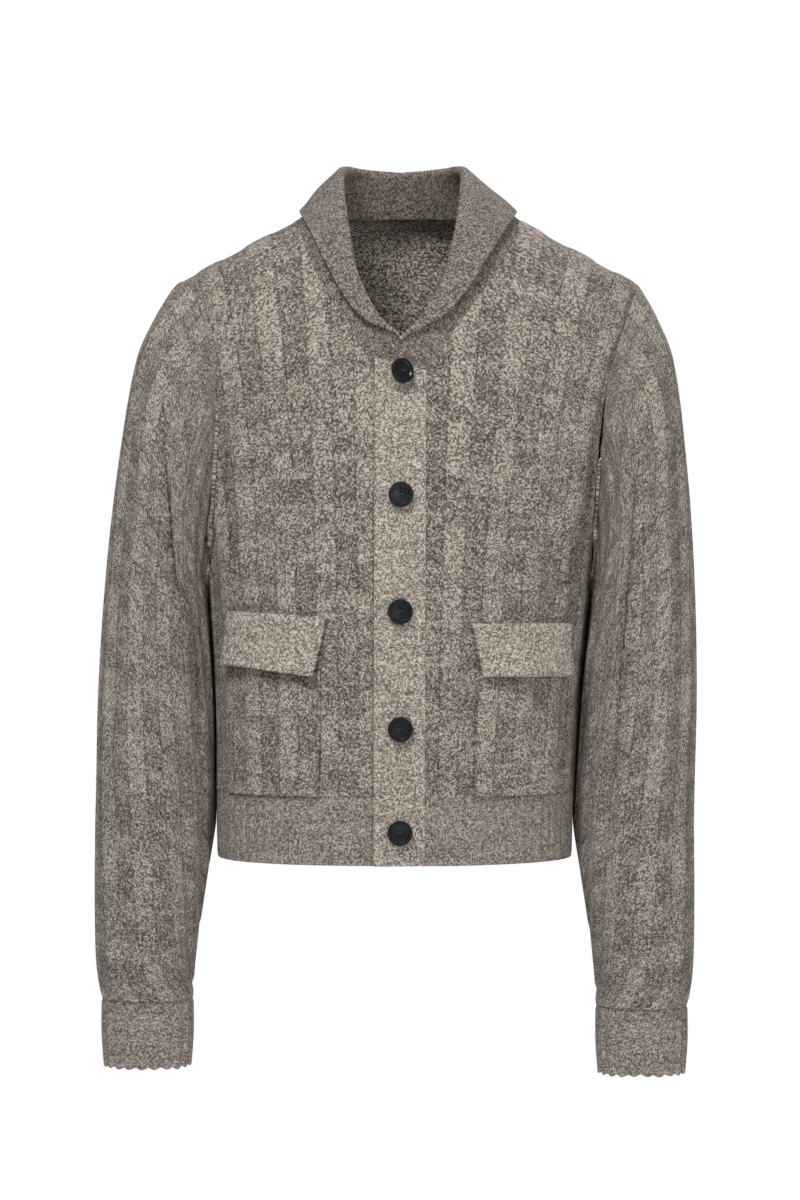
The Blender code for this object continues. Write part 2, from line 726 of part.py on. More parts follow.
def collar_half(side_name):
    stations = collar_stations()
    seams = [body_point(theta, height) for _, theta, height in stations]
    rows = []
    for i, (share, theta, height) in enumerate(stations):
        normal = body_normal(theta, height)
        rows.append(collar_section(side_name, share, seams[i], normal, seam_way(seams, i)))
    return [[leaned(p, SIDES[side_name]) for p in row] for row in rows]


def build_collar():
    left = collar_half("left")
    right = collar_half("right")
    middle = pulled_in(left + list(reversed(right[:-1])), COLLAR_END_GAP, "ns")
    normals = grid_normals(middle)
    if normals[0][0].y > 0.0:
        normals = [[-n for n in row] for row in normals]
    outer = [[p + n * WALL / 2 for p, n in zip(row, normal_row)]
             for row, normal_row in zip(middle, normals)]
    wall_object("shawl_collar", "plain_knit", outer, normals, WALL)


# ---------------------------------------------------------------- pockets and flaps

def on_front(x, z, off):
    """Point off the front's outer face, and the normal there."""
    theta, height = front_place(x, z)
    normal = body_normal(theta, height)
    return body_point(theta, height) + normal * off, normal


def patch(foot, head, off_at):
    """Grid over the front between a foot and a head edge: inner x, outer x, z and droop."""
    points = []
    normals = []
    for r in range(TRIM_STEPS + 1):
        up = r / TRIM_STEPS
        inner, outer, level, droop = (a + (b - a) * up for a, b in zip(foot, head))
        row = []
        normal_row = []
        for c in range(TRIM_STEPS + 1):
            across = c / TRIM_STEPS
            point, normal = on_front(inner + (outer - inner) * across,
                                     level - droop * (1.0 - across), off_at(up))
            row.append(point)
            normal_row.append(normal)
        points.append(row)
        normals.append(normal_row)
    return points, normals


def build_pockets():
    pocket_off = LAYER_GAP + TRIM_WALL + PANEL_CHORD_ROOM
    flap_off = pocket_off + LAYER_GAP + TRIM_WALL + POCKET_CHORD_ROOM
    for side_name, side in SIDES.items():
        foot = (POCKET_INNER, POCKET_OUTER, BAND_TOP_Z + SEAM_GAP, 0.0)
        head = (POCKET_INNER, POCKET_OUTER, POCKET_TOP_Z[side_name], 0.0)
        points, normals = on_side(*patch(foot, head, lambda up: pocket_off), side)
        wall_object("pocket_" + side_name, "rib_knit", points, normals, TRIM_WALL)

        top = FLAP_TOP_Z[side_name]
        top_droop, foot_droop = FLAP_DROOP[side_name]
        foot = (*FLAP_FOOT, top - FLAP_HEIGHT, foot_droop)
        head = (*FLAP_TOP, top, top_droop)
        points, normals = on_side(
            *patch(foot, head, lambda up: flap_off + FLAP_STAND * (1.0 - up) ** 2), side)
        wall_object("pocket_flap_" + side_name, "plain_knit", points, normals, TRIM_WALL)


# ---------------------------------------------------------------- buttons

def button_mesh():
    """A turned disc with a raised rim and four holes, its face towards +Z."""
    profile = (
        (BUTTON_RADIUS - BUTTON_BACK_INSET, 0.0),
        (BUTTON_RADIUS, BUTTON_THICKNESS * BUTTON_WAIST),
        (BUTTON_RADIUS - BUTTON_SHOULDER, BUTTON_THICKNESS),
        (BUTTON_RADIUS - BUTTON_RIM, BUTTON_THICKNESS),
        (BUTTON_RADIUS - BUTTON_RIM - BUTTON_DISH, BUTTON_THICKNESS - BUTTON_DISH),
    )
    bm = bmesh.new()
    chain = [bm.verts.new((radius, 0.0, height)) for radius, height in profile]
    edges = [bm.edges.new(pair) for pair in zip(chain, chain[1:])]
    bmesh.ops.spin(bm, geom=chain + edges, cent=(0, 0, 0), axis=(0, 0, 1),
                   angle=math.tau, steps=BUTTON_SIDES, use_duplicate=False)
    bmesh.ops.remove_doubles(bm, verts=bm.verts[:], dist=MERGE_DISTANCE)
    bmesh.ops.holes_fill(bm, edges=bm.edges[:], sides=0)
    bmesh.ops.recalc_face_normals(bm, faces=bm.faces[:])
    mesh = bpy.data.meshes.new("button_blank")
    bm.to_mesh(mesh)
    bm.free()
    blank = bpy.data.objects.new("button_blank", mesh)
    bpy.context.scene.collection.objects.link(blank)
    cutter_mesh = bpy.data.meshes.new("button_drill")
    bm = bmesh.new()
    for i in range(BUTTON_HOLES):
        angle = math.tau * (i + 0.5) / BUTTON_HOLES
        place = Matrix.Translation((BUTTON_HOLE_SPREAD * math.cos(angle),
                                    BUTTON_HOLE_SPREAD * math.sin(angle), BUTTON_THICKNESS / 2))
        bmesh.ops.create_cone(bm, cap_ends=True, segments=BUTTON_HOLE_SIDES, radius1=BUTTON_HOLE_RADIUS,
                              radius2=BUTTON_HOLE_RADIUS, depth=BUTTON_THICKNESS * 2, matrix=place)
    bm.to_mesh(cutter_mesh)
    bm.free()
    drill = bpy.data.objects.new("button_drill", cutter_mesh)
    bpy.context.scene.collection.objects.link(drill)
    holes = blank.modifiers.new("four_holes", "BOOLEAN")
    holes.object = drill
    holes.operation = "DIFFERENCE"
    holes.solver = "EXACT"
    bpy.context.view_layer.update()
    graph = bpy.context.evaluated_depsgraph_get()
    drilled = bpy.data.meshes.new_from_object(blank.evaluated_get(graph))
    drilled.name = "button"
    bpy.data.objects.remove(blank)
    bpy.data.objects.remove(drill)
    drilled.shade_smooth()
    drilled.set_sharp_from_angle(angle=math.radians(BUTTON_SHARP_ANGLE))
    drilled.materials.append(bpy.data.materials["button_plastic"])
    return drilled


def build_buttons():
    mesh = button_mesh()
    for number, (z, x, turn, stand) in enumerate(BUTTONS, start=1):
        theta, height = front_place(0.0, z)
        normal = body_normal(theta, height)
        seat = body_point(theta, height) + Vector((x, 0.0, 0.0))
        button = bpy.data.objects.new("button_%d" % number, mesh)
        facing = Matrix.Rotation(math.radians(turn), 3, "Z") @ normal
        button.rotation_euler = facing.to_track_quat("Z", "Y").to_euler()
        button.location = seat + normal * (band_lift("left", 0.0) + LAYER_GAP + stand)
        bpy.context.scene.collection.objects.link(button)


# ---------------------------------------------------------------- the whole garment

def clear_scene():
    for existing in list(bpy.data.objects):
        bpy.data.objects.remove(existing)


def make_materials():
    for name, (colour, roughness) in MATERIALS.items():
        material = bpy.data.materials.new(name)
        material.use_nodes = True
        shader = material.node_tree.nodes["Principled BSDF"]
        shader.inputs["Base Color"].default_value = colour
        shader.inputs["Roughness"].default_value = roughness
        shader.inputs["Metallic"].default_value = 0.0
        material.diffuse_color = colour


clear_scene()
make_materials()
build_back()
build_fronts()
build_hem_bands()
build_sleeves()
build_cuffs()
build_bands()
build_collar()
build_pockets()
build_buttons()
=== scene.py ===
"""The looks of a shawl collar cardigan in marled wool, worn and hollow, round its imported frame.

Metres, +Z up, the front faces -Y and the wearer's left is +X. Each maker's piece is one
knitted wall shaped by the same sizes as its solid, with its ribs, folds and seams.
"""
from functools import partial
import math

import bmesh
import bpy
from mathutils import Matrix, Vector, noise


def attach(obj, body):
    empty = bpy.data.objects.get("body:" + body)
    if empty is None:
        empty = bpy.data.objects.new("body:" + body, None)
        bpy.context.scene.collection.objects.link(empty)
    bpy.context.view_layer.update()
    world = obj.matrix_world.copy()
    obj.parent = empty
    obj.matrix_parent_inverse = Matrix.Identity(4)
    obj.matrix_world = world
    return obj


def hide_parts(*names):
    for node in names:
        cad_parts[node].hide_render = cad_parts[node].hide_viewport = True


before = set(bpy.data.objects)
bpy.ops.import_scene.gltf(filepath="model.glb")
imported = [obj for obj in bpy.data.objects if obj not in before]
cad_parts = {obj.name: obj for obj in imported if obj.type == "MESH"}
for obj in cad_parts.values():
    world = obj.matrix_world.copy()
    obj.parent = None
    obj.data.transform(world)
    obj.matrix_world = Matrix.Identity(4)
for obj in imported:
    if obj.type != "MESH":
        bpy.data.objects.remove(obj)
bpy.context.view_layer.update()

# ---- sizes of the garment

WALL = 0.003                 # chunky rib knit
TRIM_WALL = 0.0026           # pockets and flaps
SEAM_GAP = 0.0001            # seams are drawn together
LAYER_GAP = 0.0004

HEM_Z = -0.586
BAND_TOP_Z = -0.525
UNDERARM_Z = -0.350
SECTION_POWER = 2.3
PROFILE_POWER = 2.4
BODY_LEVELS = (              # z, half width, half depth
    (HEM_Z, 0.1620, 0.1170),
    (BAND_TOP_Z, 0.1635, 0.1220),
    (-0.440, 0.1665, 0.1265),
    (UNDERARM_Z, 0.1740, 0.1290),
)
CHEST_SPREAD = 0.0660
CHEST_SPREAD_EARLY = 0.37
SHOULDER_SLOPE = 0.533
SHOULDER_ZERO_X = 0.095
SHOULDER_TIP_ANGLE = 60.0
NECK_SHARE = 0.36
BACK_NECK_DEPTH = 0.078
BACK_NECK_RISE = 0.013
BACK_NECK_ROOM = 0.0004
LEAN_TOP = 0.0075
LEAN_PER_METRE = 0.0225
LEAN_LOWEST = -0.005
LEAN_SPREAD = 0.10           # the lean sets in over this from the middle out

ARMHOLE_FRONT = {"left": 60.0, "right": 52.0}
ARMHOLE_BACK = {"left": 58.0, "right": 58.0}
ARMHOLE_ROUND = 0.42         # share of its height over which its foot is rounded
ARMHOLE_FOOT_POWER = 1.3
ARMHOLE_TOP_POWER = 5
ARMHOLE_GAP = 1.2 * SEAM_GAP
UNDERARM_CLEAR = 0.0035      # the sleeve starts this far off the body under the arm
UNDERARM_START = 0.3         # and sets that in from this turn towards the underarm
UNDERARM_SPAN = 0.6

BAND_HALF = 0.0225
BAND_STEP = WALL + LAYER_GAP
BAND_TOP_RISE = 0.0109       # the bands' upper ends climb by this to their free edges
BAND_TOP_BLEND = 0.030       # over this height of band
NECK_START_Z = -0.150
NECK_SPREAD = 0.640
NECK_BEND = 3.5
NECK_BEND_HEIGHT = 0.080
COLLAR_LAP = 1.7             # its halves lap this many times as far as the bands
COLLAR_LAP_SHARE = 0.04      # once past this share of the seam
COLLAR_FRONT_SHARE = 0.5     # and up to this one
BACK_ROOM_START = 0.7
BACK_ROOM_SPAN = 0.3
ROLL_RADIUS = 0.0032
COLLAR_SECTIONS = (          # share along the seam, roll x, y, z, fall, flare of the leaf
    (0.00, -0.0125, -0.1140, -0.1415, 0.0060, 0.0064),
    (0.04, -0.0010, -0.1165, -0.1255, -0.0015, 0.0064),
    (0.11, 0.0200, -0.1130, -0.1005, 0.0105, 0.0080),
    (0.22, 0.0315, -0.1050, -0.0795, 0.0190, 0.0102),
    (0.33, 0.0395, -0.0960, -0.0605, 0.0235, 0.0112),
    (0.44, 0.0433, -0.0875, -0.0420, 0.0300, 0.0112),
    (0.56, 0.0470, -0.0765, -0.0235, 0.0360, 0.0104),
    (0.67, 0.0500, -0.0610, -0.0055, 0.0410, 0.0092),
    (0.78, 0.0520, -0.0430, 0.0110, 0.0455, 0.0078),
    (0.89, 0.0530, -0.0235, 0.0270, 0.0500, 0.0085),
    (1.00, 0.0530, -0.0020, 0.0390, 0.0525, 0.0085),
    (1.25, 0.0480, 0.0300, 0.0475, 0.0540, 0.0145),
    (1.50, 0.0360, 0.0480, 0.0490, 0.0560, 0.0175),
    (1.75, 0.0195, 0.0585, 0.0490, 0.0580, 0.0195),
    (2.00, 0.0000, 0.0620, 0.0480, 0.0580, 0.0205),
)
COLLAR_LEAN = 0.5            # the collar leans less than the shoulders
TIP_DROOP = 0.0040           # the leaf's edge sinks on to the shoulder
DROOP_MIDDLE = 1.1
DROOP_SPAN = 0.35
UPRIGHT_FROM = 0.010         # off the seam, the collar's own lean sets in from here
UPRIGHT_SPAN = 0.030
COLLAR_WAVE = 0.0006
COLLAR_WAVES = 30.0          # for each metre
FLAT_CURL = 0.05             # below this curl the strip is straight
FOLD_SPAN = {"left": (0.00, 0.08), "right": (0.03, 0.09)}

SLEEVE_RINGS = (             # outer x, outer z, inner x, inner z, half depth
    (0.2300, -0.0940, 0.1815, -0.3530, 0.0850),
    (0.2455, -0.1320, 0.1805, -0.3620, 0.0840),
    (0.2590, -0.2200, 0.1755, -0.3860, 0.0800),
    (0.2685, -0.3200, 0.1710, -0.4200, 0.0750),
    (0.2735, -0.4300, 0.1680, -0.4700, 0.0690),
    (0.2735, -0.5300, 0.1675, -0.5350, 0.0620),
    (0.2740, -0.6300, 0.1785, -0.6300, 0.0540),
    (0.2725, -0.6850, 0.1840, -0.6850, 0.0460),
    (0.2680, -0.7160, 0.1850, -0.7160, 0.0340),
)
SLEEVE_FORWARD = -0.006
ARM_LEAN = 0.0095            # how far the sleeves lean in on the sides of the body
ARM_LEAN_START = 0.12
ARM_LEAN_RATE = 1.05
CUFF_RINGS = (               # drop, half width, half depth
    (0.000, 0.0410, 0.0320),
    (0.006, 0.0415, 0.0295),
    (0.034, 0.0415, 0.0290),
    (0.062, 0.0395, 0.0290),
)
CUFF_DROP = {"left": 0.007, "right": 0.0}
CUFF_GIRTH = 0.245           # as stretched
CUFF_KNIT_GIRTH = 0.228      # as counted in ribs
CUFF_EDGE_START = 0.001
LIP_REACH = 0.006            # the cuff's free edge is scalloped by its ribs and wanders
LIP_SCALLOP = 0.0009
LIP_WANDER = 0.0022
LIP_WAVES = 45.0             # for each metre

POCKET_INNER = 0.068
POCKET_OUTER = 0.149
POCKET_TOP_Z = {"left": -0.380, "right": -0.370}
POCKET_WALL = 0.0020         # flattened by its own seams
POCKET_OFF = 0.0027          # outer face of the pocket, off the panel
POCKET_EDGE_DIP = 0.0005     # its edges are drawn down by their seams
FLAP_TOP_Z = {"left": -0.372, "right": -0.361}
FLAP_TOP = (0.0625, 0.1500)
FLAP_FOOT = (0.0715, 0.1500)
FLAP_HEIGHT = 0.047
FLAP_DROOP = {"left": (0.0, 0.0), "right": (0.0055, 0.0105)}
FLAP_OFF = 0.0076
FLAP_STAND = 0.0050          # more at its foot
FLAP_PINNED = 0.0022         # less where it is sewn down
FLAP_PIN_HEIGHT = 0.12       # over this share of its height
FLAP_PIN_END = 0.05          # and this share of its width at each end
FLAP_PIN_START = 0.35
FLAP_WAVE = 0.0012
FLAP_WAVE_TURN = 9.0

BUTTON_RADIUS = 0.0110
BUTTON_THICKNESS = 0.0042
BUTTONS = (                  # z, x, turn about the vertical, stand off the band, twist
    (-0.1530, 0.0010, 38.0, 0.0075, 7.0),
    (-0.2600, 0.0010, 0.0, 0.0008, -4.0),
    (-0.3620, 0.0005, 0.0, 0.0008, 12.0),
    (-0.4650, 0.0005, 0.0, 0.0008, 3.0),
    (-0.5560, 0.0000, 0.0, 0.0008, -8.0),
)

# ---- sizes of the knit

PANEL_STEP = 0.0027          # spacing of the points on the panels
TRIM_STEP = 0.0017           # and on the narrow-ribbed trims
CUFF_STEP = 0.8 * TRIM_STEP
SLEEVE_STEP = 0.0030         # down the sleeves
SLEEVE_TURN_STEP = 0.0032    # and round them
PLAIN_STEP = 0.0030          # up the button bands
BAND_ACROSS_STEP = 0.0020
POCKET_STEP = 0.0024
FLAP_STEP = 0.0020
FRONT_WIDTH = 0.160          # widths and length that the steps are counted over
BACK_HALF_WIDTH = 0.165
HEM_FRONT_WIDTH = 0.230
HEM_BACK_HALF_WIDTH = 0.235
SLEEVE_LENGTH = 0.590
RIB = 0.0185                 # one wide rib
RIB_RELIEF = 0.0008          # knit ribs stand proud by this, purl ribs sink by it
SLEEVE_RELIEF = 0.0011       # the same ribs, less stretched
PRESS_GAP = 0.0014           # between a sleeve and the side of the body it lies against,
PRESS_START = 0.001          # from this far below the underarm
CUFF_RIB = 0.0110            # one narrow rib and its valley
CUFF_RELIEF = 0.0009
HEM_RIB = 0.0105
HEM_RELIEF = 0.0005
RIB_SQUARENESS = 4           # a higher power gives ribs with flatter tops
VALLEY_POWER = 0.7           # a lower power gives tighter valleys
EDGE_FADE = 0.006            # relief dies away over this at seams
EDGE_ROUND = 0.0005          # rounding of a seamed edge
FREE_ROUND = 0.0012          # and of a free one
SHARP_EDGE = math.radians(62)
SLACK_CALM = 0.06            # the cloth is flat at the bands and slack beyond this
SLACK_WAVES = (              # waves for each metre, height, shift of the pattern
    (11.0, 0.0022, Vector((0.0, 0.0, 0.0))),
    (34.0, 0.0006, Vector((5.0, 0.0, 0.0))),
)
FACING_CALM = 0.5            # cloth turned further sideways than this is neither slack nor sunk
SIDES = {"left": 1, "right": -1}

# Folds: side, where ("front" or "back"), depth, half width, shelf, points (x, z). The cloth
# lies lower by the shelf on the inner side of a fold, or on the outer side if it is negative.
SHELF_REACH = 0.045
ROLL_REACH = 0.020           # beside the fold, on its higher side, the cloth swells
ROLL_SHARE = 0.45            # by this share of the shelf
LAP = 0.0050                 # the higher side is drawn over the lower one by this
LAP_REACH = 0.0080
FOLD_TAPER = 0.6
FOLD_END_WIDTHS = 3.0        # a fold acts this many widths and shelves past its ends in height,
FOLD_END_SHELVES = 8.0       # and stops short of them where its shelf is on the outer side
SLEEVE_FOLDS = (
    ("right", "front", 0.0110, 0.0050, 0.0150,
     ((0.2157, -0.165), (0.2157, -0.205), (0.2121, -0.257), (0.2090, -0.303), (0.2035, -0.340),
      (0.1925, -0.360), (0.1865, -0.390), (0.1825, -0.430), (0.1790, -0.490))),
    ("left", "front", 0.0070, 0.0055, 0.0090,
     ((0.2130, -0.215), (0.2112, -0.245), (0.2103, -0.316), (0.2067, -0.379),
      (0.2014, -0.449), (0.1996, -0.532))),
    ("left", "front", 0.0030, 0.0060, 0.0,
     ((0.1860, -0.375), (0.1853, -0.430), (0.1840, -0.495))),
    ("right", "back", 0.0050, 0.0080, 0.0060,
     ((0.2110, -0.215), (0.2080, -0.290), (0.1980, -0.350), (0.1860, -0.400), (0.1790, -0.440))),
    ("left", "back", 0.0050, 0.0080, 0.0060,
     ((0.2130, -0.225), (0.2090, -0.300), (0.2010, -0.360), (0.1880, -0.410), (0.1800, -0.450))),
    ("right", "back", 0.0035, 0.0090, 0.0,
     ((0.1850, -0.440), (0.2150, -0.425), (0.2450, -0.395))),
    ("left", "back", 0.0030, 0.0090, 0.0,
     ((0.1900, -0.465), (0.2200, -0.445), (0.2480, -0.410))),
)
BODY_FOLDS = (
    ("right", "front", 0.0060, 0.0055, -0.0060,
     ((0.1545, -0.190), (0.1555, -0.246), (0.1500, -0.295), (0.1446, -0.320), (0.1495, -0.362))),
    ("left", "front", 0.0050, 0.0055, -0.0050,
     ((0.1660, -0.195), (0.1650, -0.250), (0.1600, -0.285), (0.1490, -0.310), (0.1430, -0.362))),
    ("left", "back", 0.0030, 0.0110, 0.0,
     ((0.1500, -0.240), (0.1350, -0.330), (0.1300, -0.400))),
    ("right", "back", 0.0030, 0.0110, 0.0,
     ((0.1520, -0.250), (0.1400, -0.330), (0.1280, -0.420))),
)


# ---- curves and levels

def curve_through(points, knots, t):
    """Point at t on a smooth curve through points placed at rising knots."""
    last = len(knots) - 1
    i = 0
    while i < last - 1 and t > knots[i + 1]:
        i += 1

    def slope(k):
        a = max(k - 1, 0)
        b = min(k + 1, last)
        return (points[b] - points[a]) / (knots[b] - knots[a])

    span = knots[i + 1] - knots[i]
    s = (t - knots[i]) / span
    rise = s * s * (3.0 - 2.0 * s)
    leave = s * (1.0 - s) ** 2 * span
    arrive = -s * s * (1.0 - s) * span
    return (points[i] * (1.0 - rise) + points[i + 1] * rise
            + slope(i) * leave + slope(i + 1) * arrive)


def chord_knots(points):
    knots = [0.0]
    for a, b in zip(points, points[1:]):
        knots.append(knots[-1] + (b - a).length)
    return knots


def smooth_step(t):
    t = min(max(t, 0.0), 1.0)
    return t * t * (3.0 - 2.0 * t)


def section(theta):
    """Sideways and forward share of the body section at an angle from the front."""
    power = 2.0 / SECTION_POWER
    across = math.copysign(abs(math.sin(theta)) ** power, math.sin(theta))
    forward = math.copysign(abs(math.cos(theta)) ** power, math.cos(theta))
    return across, forward


def lean(z):
    return max(LEAN_LOWEST, LEAN_TOP + LEAN_PER_METRE * z)


def leaned(point, side):
    """The straight half garment's point, put on its side and leaned with its height."""
    share = smooth_step(abs(point.x) / LEAN_SPREAD)
    return Vector((side * point.x + lean(point.z) * share, point.y, point.z))


# ---- the body's surface

def shoulder_z(x):
    return -SHOULDER_SLOPE * (x - SHOULDER_ZERO_X)


def chest_half(rise):
    """Half width at a share of the height from underarm to shoulder."""
    start = BODY_LEVELS[-1][1]
    grown = CHEST_SPREAD_EARLY * rise + (1.0 - CHEST_SPREAD_EARLY) * rise * rise
    return start + CHEST_SPREAD * grown


NECK_HALF = chest_half(1.0) * section(math.radians(SHOULDER_TIP_ANGLE * NECK_SHARE))[0]


def top_line(x, theta):
    """y and z of the upper end of the body's line at x: shoulder seam or back neck."""
    x = abs(x)
    if theta <= math.pi / 2 or x >= NECK_HALF:
        return 0.0, shoulder_z(x)
    share = math.sqrt(1.0 - (x / NECK_HALF) ** 2)
    return BACK_NECK_DEPTH * share, shoulder_z(NECK_HALF) + BACK_NECK_RISE * share


def level_sizes(z):
    knots = [row[0] for row in BODY_LEVELS]
    rows = [Vector(row[1:]) for row in BODY_LEVELS]
    return curve_through(rows, knots, min(max(z, HEM_Z), UNDERARM_Z))


def body_point(theta, height):
    """Outer face of the straight half body. height is z below the underarm, and above
    it 0 to 90, an angle that climbs from the underarm to the shoulder."""
    across, forward = section(theta)
    if height < 0.0:
        half, depth = level_sizes(height)
        return Vector((half * across, -depth * forward, height))
    power = 2.0 / PROFILE_POWER
    angle = math.radians(min(height, 90.0))
    rise = math.sin(angle) ** power
    reach = max(math.cos(angle), 0.0) ** power
    depth = BODY_LEVELS[-1][2]
    x = chest_half(rise) * across
    top_y, top_z = top_line(x, theta)
    return Vector((x, top_y + (-depth * forward - top_y) * reach,
                   UNDERARM_Z + (top_z - UNDERARM_Z) * rise))


def front_angle(x, half):
    """Angle round the section that has this x."""
    return math.asin(min(abs(x) / half, 1.0) ** (SECTION_POWER / 2.0))


def climb_at(x, z):
    """The climb angle of the front point at x and z above the underarm."""
    rise = (z - UNDERARM_Z) / (shoulder_z(abs(x)) - UNDERARM_Z)
    return math.degrees(math.asin(min(rise, 1.0) ** (PROFILE_POWER / 2.0)))


def front_place(x, z):
    """Angle and height that body_point needs for the front point at x and z."""
    if z <= UNDERARM_Z:
        return front_angle(x, level_sizes(z)[0]), z
    climb = climb_at(x, z)
    rise = math.sin(math.radians(climb)) ** (2.0 / PROFILE_POWER)
    return front_angle(x, chest_half(rise)), climb


NORMAL_TURN = 0.002          # steps to each side that a normal is worked out from
NORMAL_DROP = 0.0004
NORMAL_CLIMB = 0.1
JUST_BELOW = 1e-6
ROUNDING = 1e-9


def body_normal(theta, height):
    """Unit normal of the body's surface, pointing away from the wearer."""
    if height < 0.0:
        lower, upper = height - NORMAL_DROP, min(height + NORMAL_DROP, -JUST_BELOW)
    else:
        lower, upper = max(height - NORMAL_CLIMB, 0.0), min(height + NORMAL_CLIMB, 90.0)
    along = body_point(theta + NORMAL_TURN, height) - body_point(theta - NORMAL_TURN, height)
    up = body_point(theta, upper) - body_point(theta, lower)
    return along.cross(up).normalized()


CLIMB_PARTS = 900
CLIMBS = [90.0 * i / CLIMB_PARTS for i in range(CLIMB_PARTS + 1)]
MEASURE_ANGLE = math.radians(40.0)   # lengths up the cloth are measured on this line
CLIMB_LENGTHS = chord_knots([body_point(MEASURE_ANGLE, climb) for climb in CLIMBS])


def even_climbs(step):
    """Climb angles up to the shoulder, evenly spaced along the cloth."""
    count = round(CLIMB_LENGTHS[-1] / step)
    climbs = []
    k = 0
    for i in range(count + 1):
        wanted = CLIMB_LENGTHS[-1] * i / count
        while k < CLIMB_PARTS - 1 and CLIMB_LENGTHS[k + 1] < wanted:
            k += 1
        share = (wanted - CLIMB_LENGTHS[k]) / (CLIMB_LENGTHS[k + 1] - CLIMB_LENGTHS[k])
        climbs.append(CLIMBS[k] + (CLIMBS[k + 1] - CLIMBS[k]) * share)
    return climbs


def between(lengths, place):
    """Length at a place counted in parts."""
    i = min(int(place), len(lengths) - 2)
    return lengths[i] + (lengths[i + 1] - lengths[i]) * (place - i)


def cloth_height(height):
    """Metres up the cloth, along its wales."""
    if height < 0.0:
        return height - UNDERARM_Z
    return between(CLIMB_LENGTHS, height * CLIMB_PARTS / 90.0)


def spaced(start, end, step):
    count = max(round(abs(end - start) / step), 2)
    return [start + (end - start) * i / count for i in range(count + 1)]


NECK_START = climb_at(BAND_HALF, NECK_START_Z)
PANEL_HEIGHTS = spaced(BAND_TOP_Z, UNDERARM_Z, PANEL_STEP)[:-1] + even_climbs(PANEL_STEP)
WALE_PARTS = 360
WALE_LENGTHS = chord_knots([body_point(math.pi * i / WALE_PARTS, UNDERARM_Z - JUST_BELOW)
                            for i in range(WALE_PARTS + 1)])


def wale_at(theta):
    """Where a wale of the body lies, in metres round the underarm from the centre front."""
    return between(WALE_LENGTHS, theta / math.pi * WALE_PARTS)


def armhole_angle(middle, height):
    """Angle of the armhole line at a climb angle; the side seam below the underarm."""
    if height < 0.0:
        return math.pi / 2
    share = height / 90.0
    bend = (1.0 - math.sqrt(min(1.0, share / ARMHOLE_ROUND))) ** ARMHOLE_FOOT_POWER
    top = (SHOULDER_TIP_ANGLE - middle) * share ** ARMHOLE_TOP_POWER
    return math.radians(middle + (90.0 - middle) * bend + top)


def neckline_x(z):
    up = z - NECK_START_Z
    bend = max(up - NECK_BEND_HEIGHT, 0.0)
    return BAND_HALF + NECK_SPREAD * up - NECK_BEND * bend * bend


ALMOST_TOP = 89.999
HALVINGS = 30


def neckline_angle(height):
    """Angle of the front panel's inner edge: the band's seam, then the neckline."""
    if height < 0.0:
        return front_angle(BAND_HALF, level_sizes(height)[0])
    rise = math.sin(math.radians(height)) ** (2.0 / PROFILE_POWER)
    half = chest_half(rise)
    if height <= NECK_START + ROUNDING:
        return front_angle(BAND_HALF, half)
    if height > ALMOST_TOP:
        return math.radians(SHOULDER_TIP_ANGLE * NECK_SHARE)
    low = BAND_HALF
    high = NECK_HALF
    for _ in range(HALVINGS):
        x = (low + high) / 2
        z = UNDERARM_Z + (shoulder_z(x) - UNDERARM_Z) * rise
        if x < neckline_x(z):
            low = x
        else:
            high = x
    return front_angle(low, half)


# ---- relief of the cloth

def rib_wave(u, width):
    """Wide ribs, from 1 on a knit rib to -1 on a purl rib, with soft steps between."""
    count = math.floor(u / width)
    across = 2.0 * (u / width - count) - 1.0
    return (1.0 - across ** RIB_SQUARENESS) * (1.0 if count % 2 == 0 else -1.0)


def narrow_wave(u, width):
    """Narrow ribs: round ridges with tighter valleys."""
    return 2.0 * (0.5 + 0.5 * math.cos(math.tau * u / width)) ** VALLEY_POWER - 1.0


def slack(point):
    """The cloth's own unevenness, the same for all layers at a place."""
    return smooth_step(abs(point.x) / SLACK_CALM) * sum(
        noise.noise(point * waves + shift) * height for waves, height, shift in SLACK_WAVES)


def fold_depth(folds, side_name, where, x, z):
    """How far the folds sink the cloth at a place, seen from the front or the back, and
    how far they draw it sideways, so that the higher side laps over the lower one."""
    sunk = 0.0
    drawn = 0.0
    for fold_side, fold_where, depth, width, shelf, path in folds:
        if fold_side != side_name or fold_where != where:
            continue
        reach = width * FOLD_END_WIDTHS + shelf * FOLD_END_SHELVES
        if not (path[-1][1] - reach < z < path[0][1] + reach) and path[0][1] > path[-1][1]:
            continue
        best = None
        total = len(path) - 1
        for i, ((ax, az), (bx, bz)) in enumerate(zip(path, path[1:])):
            dx, dz = bx - ax, bz - az
            t = ((x - ax) * dx + (z - az) * dz) / (dx * dx + dz * dz)
            t = min(max(t, 0.0), 1.0)
            px, pz = x - ax - dx * t, z - az - dz * t
            away = math.hypot(px, pz)
            if best is None or away < best[0]:
                best = (away, (i + t) / total, px)
        away, share, offset = best
        taper = max(math.sin(math.pi * share), 0.0) ** FOLD_TAPER
        sunk += depth * taper * math.exp(-(away / width) ** 2)
        if shelf * offset < 0.0:
            sunk += abs(shelf) * taper * smooth_step(away / width) * math.exp(-away / SHELF_REACH)
        elif shelf:
            roll = smooth_step(away / width) * math.exp(-away / ROLL_REACH)
            sunk -= ROLL_SHARE * abs(shelf) * taper * roll
        if shelf:
            drawn -= math.copysign(LAP * taper * math.exp(-away / LAP_REACH), offset)
    return sunk, drawn


def edge_fade(r, c, rows, columns, closed, step):
    """From 0 at the grid's free edges to 1 inside."""
    inset = min(r, rows - 1 - r)
    if not closed:
        inset = min(inset, c, columns - 1 - c)
    return smooth_step(inset * step / EDGE_FADE)


# ---- cloth walls

